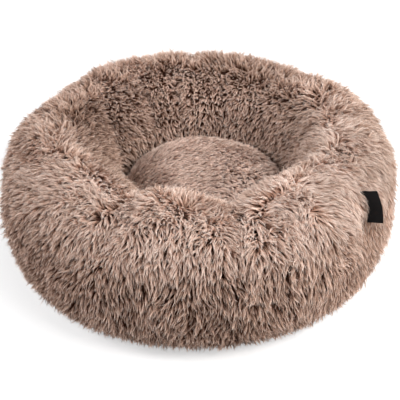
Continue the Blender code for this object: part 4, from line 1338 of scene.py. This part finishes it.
paths = lock_paths(cushion_pelt, lock_a, lock_b, comb_cushion, locks)
wanted = 5.6 - 1.6 * edge + draws.normal(0.0, 0.8, lock_count)
spread = np.full(lock_count, CUSHION_LOCK_SPACING * CUSHION_STRAND_ROOM)
root_a, root_b, lock_of = strand_roots(cushion_pelt, lock_a, lock_b, wanted, spread, draws)
strand_count = len(lock_of)
cushion_looks = {
    "shortest": 0.62, "stray": 0.0005, "clump": 0.68 - 0.25 * smooth_left, "depth": depth,
    "roll": 0.65, "width": 0.00088 + 0.00008 * smooth_left}
points, reach_share = strand_points(
    cushion_pelt, root_a, root_b, lock_of, paths, cushion_looks, draws)
well_reach = np.hypot(points[..., 0] - well_x, points[..., 1])
moved_out(points, well_x, np.minimum(cushion_radius / np.maximum(well_reach, TINY), 1.0))
tone = MIDDLE_TONE + 0.12 * draws.normal(0.0, 1.0, strand_count)
tone += 0.09 * draws.normal(0.0, 1.0, lock_count)[lock_of]
tone += 0.06 * wave_noise(lock_place, 0.05, 81)[lock_of]
tone = np.clip(tone, *TONE_LIMITS)
order = np.argsort(points[:, 0, 0], kind="stable")
blades = (points, tone, reach_share, np.full(strand_count, LEAST_PAINT))
for index, chosen in enumerate(np.array_split(order, 2)):
    piece = pile_piece(
        f"cushion_pile_{index + 1}", [part[chosen] for part in blades], cushion_pile_material,
        "cushion")
    print(piece.name, "strands", len(chosen))

# %% [markdown]
# ## The side label
# A short ribbon is folded in two, and its cut ends are caught in the side seam. Its two layers
# lie close together with a rounded fold outside, and it stands in the fur a little bowed. A flat
# grid is rolled along that loop: one way runs round the fold and the other up the ribbon.

# %% The folded ribbon
LABEL_ROOT_HIGH = np.array([0.2375, -0.1263, 0.1785])
LABEL_ROOT_LOW = np.array([0.2501, -0.1330, 0.1285])
LABEL_FOLD_HIGH = np.array([0.2550, -0.1356, 0.1842])
LABEL_FOLD_LOW = np.array([0.2678, -0.1424, 0.1342])
LABEL_HALF_GAP = 0.00055
LABEL_DEEPER = 0.26
LABEL_FOOT_DEEPER = 0.0060
LABEL_BOW = 0.0022
LABEL_BULGE = 0.0042
FOLD_SHARE = 0.07
RIBBON_THICKNESS = 0.00032

rise_steps = np.linspace(0.0, 1.0, 41)
loop_steps = np.linspace(-1.0, 1.0, 61)
label_points = np.empty((len(loop_steps), len(rise_steps), 3))
root_line = LABEL_ROOT_LOW + rise_steps[:, None] * (LABEL_ROOT_HIGH - LABEL_ROOT_LOW)
fold_line = LABEL_FOLD_LOW + rise_steps[:, None] * (LABEL_FOLD_HIGH - LABEL_FOLD_LOW)
reach_way = fold_line - root_line
up_way = unit(root_line[-1:] - root_line[:1])[0]
face_way = unit(np.cross(reach_way, up_way))
foot_share = (1.0 - rise_steps)[:, None]
root_line = root_line - LABEL_DEEPER * reach_way - LABEL_FOOT_DEEPER * foot_share * unit(reach_way)
reach_way = fold_line - root_line
bulge = np.sin(math.pi * rise_steps) * LABEL_BULGE
for index, loop in enumerate(loop_steps):
    out_share = 1.0 - abs(loop) ** 1.15
    past_fold = max(out_share - 1.0 + FOLD_SHARE, 0.0) / FOLD_SHARE
    near_fold = math.sqrt(max(0.0, 1.0 - past_fold ** 2))
    offset = math.copysign(LABEL_HALF_GAP * near_fold, loop) if loop else 0.0
    bow = LABEL_BOW * np.sin(math.pi * rise_steps * 1.1 + 0.4) * out_share ** 2
    label_points[index] = root_line + reach_way * out_share + face_way * (offset + bow)[:, None]
    label_points[index] += unit(reach_way) * (bulge * out_share ** 3)[:, None]
ribbon_material = woven_material(
    "black_satin_ribbon", (0.009, 0.008, 0.009), (0.005, 0.005, 0.006), 0.00045,
    wear=0.02, bump=0.25, flat_size=(0.050, 0.052))
ribbon_shader = ribbon_material.node_tree.nodes["Principled BSDF"]
ribbon_shader.inputs["Specular IOR Level"].default_value = 0.22
ribbon = rolled_grid("folded_label", label_points)
solidified(ribbon, RIBBON_THICKNESS, 0.0)
ribbon.data.materials.append(ribbon_material)
bpy.ops.object.shade_smooth_by_angle(angle=math.radians(40.0))
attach(ribbon, "ring")
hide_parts("side_label")
low, high = ribbon.bound_box[0], ribbon.bound_box[6]
print("label from", [round(value, 4) for value in low], "to", [round(value, 4) for value in high])

# %% [markdown]
# ## What lies underneath and inside
# Turned over, the bed shows a coarse grip cloth with moulded rubber dots, a sewn edge binding and
# the zip of its cover. Inside are fibre, wadding and a thin non-woven liner. None of it is one
# flat colour: fibre has tufts, rubber and nylon are mottled, and the zip's metal is rubbed.

# %% A node group for mottled stuff
mottle_group, ins, outs = new_group(
    "mottled stuff",
    (("Vector", "NodeSocketVector", (0.0, 0.0, 0.0)), ("Scale", "NodeSocketFloat", 200.0),
     ("Dark", "NodeSocketColor", (0.1, 0.1, 0.1, 1.0)),
     ("Light", "NodeSocketColor", (0.2, 0.2, 0.2, 1.0)),
     ("Smoothest", "NodeSocketFloat", 0.5), ("Roughest", "NodeSocketFloat", 0.9)),
    (("Color", "NodeSocketColor"), ("Height", "NodeSocketFloat"), ("Roughness", "NodeSocketFloat")))
clouds = mottle_group.nodes.new("ShaderNodeTexNoise")
clouds.inputs["Detail"].default_value = 6.0
clouds.inputs["Distortion"].default_value = 0.8
cells = mottle_group.nodes.new("ShaderNodeTexVoronoi")
for texture in (clouds, cells):
    mottle_group.links.new(ins.outputs["Vector"], texture.inputs["Vector"])
    mottle_group.links.new(ins.outputs["Scale"], texture.inputs["Scale"])
cloud_share = ranged(mottle_group, clouds.outputs["Fac"], 0.32, 0.68, 0.0, 1.0, smooth=True)
mottled = mix_colours(mottle_group, cloud_share, ins.outputs["Dark"], ins.outputs["Light"])
# Painted shade: the low middles of the cells, the pits of the relief, are painted darker.
pit_share = ranged(mottle_group, cells.outputs["Distance"], 0.0, 0.7, 0.30, 0.0)
pitted = mix_colours(mottle_group, pit_share, mottled, ins.outputs["Dark"])
relief = maths(mottle_group, "ADD", cloud_share, cells.outputs["Distance"])
rough = ranged(
    mottle_group, clouds.outputs["Fac"], 0.0, 1.0, ins.outputs["Smoothest"],
    ins.outputs["Roughest"])
mottle_group.links.new(pitted, outs.inputs["Color"])
mottle_group.links.new(relief, outs.inputs["Height"])
mottle_group.links.new(rough, outs.inputs["Roughness"])
print("node group", mottle_group.name)

# %% Materials for fibre, rubber, nylon and metal


def mottled_material(name, dark, light, grain, roughness, bump, metallic=0.0):
    """A mottled material whose features are about one grain across."""
    settings = {
        "Scale": 1.0 / grain, "Dark": (*dark, 1.0), "Light": (*light, 1.0),
        "Smoothest": roughness[0], "Roughest": roughness[1]}
    made = group_material(name, mottle_group, settings, bump, 0.3 * grain)
    set_inputs(made.node_tree.nodes["Principled BSDF"], {"Metallic": metallic})
    return made


fibre_material = mottled_material(
    "fibre_fill", (0.70, 0.70, 0.68), (0.90, 0.90, 0.88), 0.006, (0.85, 1.0), 0.6)
liner_material = mottled_material(
    "non_woven_liner", (0.62, 0.61, 0.59), (0.74, 0.73, 0.71), 0.0014, (0.7, 0.95), 0.4)
rubber_material = mottled_material(
    "grip_rubber", (0.045, 0.042, 0.042), (0.085, 0.080, 0.078), 0.0011, (0.45, 0.75), 0.25)
nylon_material = mottled_material(
    "zip_nylon", (0.080, 0.055, 0.045), (0.125, 0.088, 0.072), 0.0012, (0.30, 0.50), 0.10)
metal_material = mottled_material(
    "rubbed_zip_metal", (0.27, 0.25, 0.23), (0.42, 0.40, 0.38), 0.0009, (0.24, 0.52), 0.06, 1.0)
grip_material = woven_material(
    "grip_cloth", (0.110, 0.098, 0.096), (0.072, 0.064, 0.063), 0.0011, wear=0.22, bump=0.7)
tape_material = woven_material(
    "zip_tape_cloth", (0.225, 0.147, 0.113), (0.175, 0.112, 0.085), 0.0006, wear=0.15, bump=0.5)
binding_material = woven_material(
    "binding_cloth", (0.230, 0.150, 0.115), (0.165, 0.105, 0.080), 0.0007, wear=0.30, bump=0.6)
print("materials", len(bpy.data.materials))

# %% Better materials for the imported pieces
MADE_OF = (
    (backing_material, ("rim_cover_front", "rim_cover_back", "cushion_cover_top")),
    (liner_material, ("rim_liner_top", "rim_liner_floor")),
    (fibre_material, ("rim_filling", "base_wadding", "cushion_filling")),
    (lining_material, ("well_lining", "cushion_cover_base")),
    (ribbon_material, ("side_label",)), (grip_material, ("base_cloth",)),
    (binding_material, ("base_binding",)),
    (tape_material, ("zip_tape_outer", "zip_tape_inner")),
    (nylon_material, ("zip_teeth_outer", "zip_teeth_inner")),
    (metal_material, ("zip_closed_stop", "zip_open_stop", "zip_slider", "zip_pull")))
NODE_MATERIALS = {name: material for material, names in MADE_OF for name in names}
for node_name, material in NODE_MATERIALS.items():
    for slot in nodes[node_name].material_slots:
        slot.material = material
print("packed pieces with a material of their own:", len(NODE_MATERIALS), "of", len(nodes))

# %% Rounded copies of the cloth, the tapes and the zip's metal
NEARLY_FLAT = math.radians(1.5)
ROUNDED = (
    ("grip_base_cloth", "base_cloth", 0.00030, "ring", "oxford_cloth"),
    ("sewn_edge_binding", "base_binding", 0.00030, "ring", "binding_tape"),
    ("woven_tape_outer", "zip_tape_outer", 0.00018, "ring", "zip_tape"),
    ("woven_tape_inner", "zip_tape_inner", 0.00018, "ring", "zip_tape"),
    ("metal_closed_stop", "zip_closed_stop", 0.00028, "ring", "zip_metal"),
    ("metal_open_stop", "zip_open_stop", 0.00028, "ring", "zip_metal"),
    ("metal_slider", "zip_slider", 0.00016, "slider", "zip_metal"),
    ("metal_pull", "zip_pull", 0.00016, "pull", "zip_metal"))


def rounded_copy(name, node, width, body):
    """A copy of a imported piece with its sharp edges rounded; it stands for that piece."""
    copy = merged_copy((node,))
    bmesh.ops.dissolve_limit(copy, angle_limit=NEARLY_FLAT, verts=copy.verts, edges=copy.edges)
    piece = piece_from(name, copy, NODE_MATERIALS[node])
    bevel = piece.modifiers.new("rounded edges", "BEVEL")
    bevel.width = width
    bevel.segments = 2
    bevel.limit_method = "ANGLE"
    bevel.angle_limit = math.radians(35.0)
    apply_all(piece)
    bpy.ops.object.shade_smooth_by_angle(angle=math.radians(50.0))
    piece.modifiers.new("flat faces stay flat", "WEIGHTED_NORMAL")
    apply_all(piece)
    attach(piece, body)
    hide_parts(node)
    return piece


for name, node, width, body, slot in ROUNDED:
    piece = rounded_copy(name, node, width, body)
    print(name, len(piece.data.polygons), "faces")

# %% [markdown]
# The grip dots are moulded onto the cloth, so each is a low dome with a rounded shoulder. The
# rows of stitches are small bent bars, one mesh for each row: each stitch rises out of the cloth,
# runs along it and dives back in.

# %% Grip dots
DOT_SPACING = 0.080
DOT_PROFILE = ((0.0057, 0.00095), (0.0057, 0.00045), (0.0055, 0.00012), (0.00515, -0.00006))
DOT_SEGMENTS = 18



def circle(x, y, radius, count):
    """Points evenly round a circle."""
    angles = [2.0 * math.pi * step / count for step in range(count)]
    return [(x + radius * math.cos(angle), y + radius * math.sin(angle)) for angle in angles]


dot_centres = [(0.0, 0.0)]
for ring in (1, 2, 3):
    dot_centres += circle(0.0, 0.0, ring * DOT_SPACING, 6 * ring)
dots = bmesh.new()
for x, y in dot_centres:
    rings = [
        [dots.verts.new((*place, z)) for place in circle(x, y, radius, DOT_SEGMENTS)]
        for radius, z in DOT_PROFILE]
    for upper, lower in zip(rings, rings[1:]):
        for step in range(DOT_SEGMENTS):
            after = (step + 1) % DOT_SEGMENTS
            dots.faces.new((upper[step], lower[step], lower[after], upper[after]))
    dots.faces.new(rings[0])
    dots.faces.new(reversed(rings[-1]))
bmesh.ops.recalc_face_normals(dots, faces=dots.faces)
grip_dots = piece_from("grip_dots", dots, rubber_material)
activate(grip_dots)
bpy.ops.object.shade_smooth_by_angle(angle=math.radians(50.0))
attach(grip_dots, "ring")
print("grip dots", len(dot_centres))

# %% Rows of stitches
THREAD_RADIUS = 0.00028
STITCH_RISE = 0.00045
STITCH_BENDS = ((0.0, -0.6), (0.12, 0.35), (0.5, 0.6), (0.88, 0.35), (1.0, -0.6))
thread_material = mottled_material(
    "sewing_thread", (0.15, 0.098, 0.075), (0.27, 0.18, 0.14), 0.0006, (0.45, 0.7), 0.5)


def stitch_row(name, radius, first, last, length, pitch, face, outward):
    """Stitches along an arc round the bed's middle on a face at some height.

    outward is -1 where the stitches stand down out of the underside and 1 where they stand up.
    """
    count = int((last - first) * radius / pitch)
    row = bmesh.new()
    for index in range(count):
        start = first + (index + 0.5) * pitch / radius
        rings = []
        for share, lift in STITCH_BENDS:
            angle = start + share * length / radius
            z = face + outward * lift * STITCH_RISE
            rings.append([
                row.verts.new((reach * math.cos(angle), reach * math.sin(angle), height))
                for reach, height in circle(radius, z, THREAD_RADIUS, 6)])
        for near, far in zip(rings, rings[1:]):
            for side in range(6):
                after = (side + 1) % 6
                row.faces.new((near[side], near[after], far[after], far[side]))
        row.faces.new(reversed(rings[0]))
        row.faces.new(rings[-1])
    bmesh.ops.recalc_face_normals(row, faces=row.faces)
    piece = piece_from(name, row, thread_material)
    activate(piece)
    bpy.ops.object.shade_smooth()
    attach(piece, "ring")
    return count


UNDERSIDE = 0.0008
ZIP_START = (0.1427, 0.1403)
ZIP_LENGTH = 0.300
ZIP_RADIUS = 0.200
cloth_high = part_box("base_cloth")[1]
zip_first = math.atan2(ZIP_START[1], ZIP_START[0])
zip_last = zip_first + ZIP_LENGTH / ZIP_RADIUS
edge_count = stitch_row(
    "binding_stitches", cloth_high.x - 0.0026, 0.0, 2.0 * math.pi, 0.0030, 0.0044, UNDERSIDE, -1)
zip_count = 0
for name, radius in (("zip_stitches_outer", 0.2112), ("zip_stitches_inner", 0.1888)):
    zip_count += stitch_row(
        name, radius, zip_first - 0.02, zip_last + 0.02, 0.0026, 0.0036, UNDERSIDE, -1)
print("stitches", edge_count, "round the edge and", zip_count, "along the zip")

# %% The well's floor cloth
FLOOR_RINGS = 40
FLOOR_TURNS = 144
lining_low, lining_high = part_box("well_lining")
lining_radius = 0.5 * (lining_high.y - lining_low.y)
rings = np.linspace(0.0, lining_radius, FLOOR_RINGS)
turns = np.linspace(0.0, 2.0 * math.pi, FLOOR_TURNS + 1)
floor_points = np.empty((FLOOR_TURNS + 1, FLOOR_RINGS, 3))
floor_points[..., 0] = 0.5 * (lining_low.x + lining_high.x) + rings * np.cos(turns)[:, None]
floor_points[..., 1] = 0.5 * (lining_low.y + lining_high.y) + rings * np.sin(turns)[:, None]
flat = floor_points[:-1].reshape(-1, 3).copy()
flat[:, 2] = 0.0
waves = wave_noise(flat, 0.035, 121).reshape(FLOOR_TURNS, FLOOR_RINGS)
pucker = np.sin(60.0 * turns[:-1])[:, None] * (rings / lining_radius) ** 6
lift = 0.00012 * np.clip(waves, -1.5, 1.5) + 0.00010 * pucker
floor_points[:-1, :, 2] = lining_high.z - 0.0002 + lift
floor_points[-1, :, 2] = floor_points[0, :, 2]
well_cloth = rolled_grid("well_floor_cloth", floor_points)
activate(well_cloth)
bpy.ops.object.mode_set(mode="EDIT")
bpy.ops.mesh.select_all(action="SELECT")
bpy.ops.mesh.remove_doubles(threshold=0.00001)
bpy.ops.mesh.normals_make_consistent(inside=False)
bpy.ops.object.mode_set(mode="OBJECT")
solidified(well_cloth, 0.0006)
well_cloth.data.materials.append(lining_material)
bpy.ops.object.shade_smooth()
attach(well_cloth, "ring")
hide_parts("well_lining")
low, high = well_cloth.bound_box[0], well_cloth.bound_box[6]
print("well floor cloth from", round(low[2], 5), "to", round(high[2], 5), "m high")
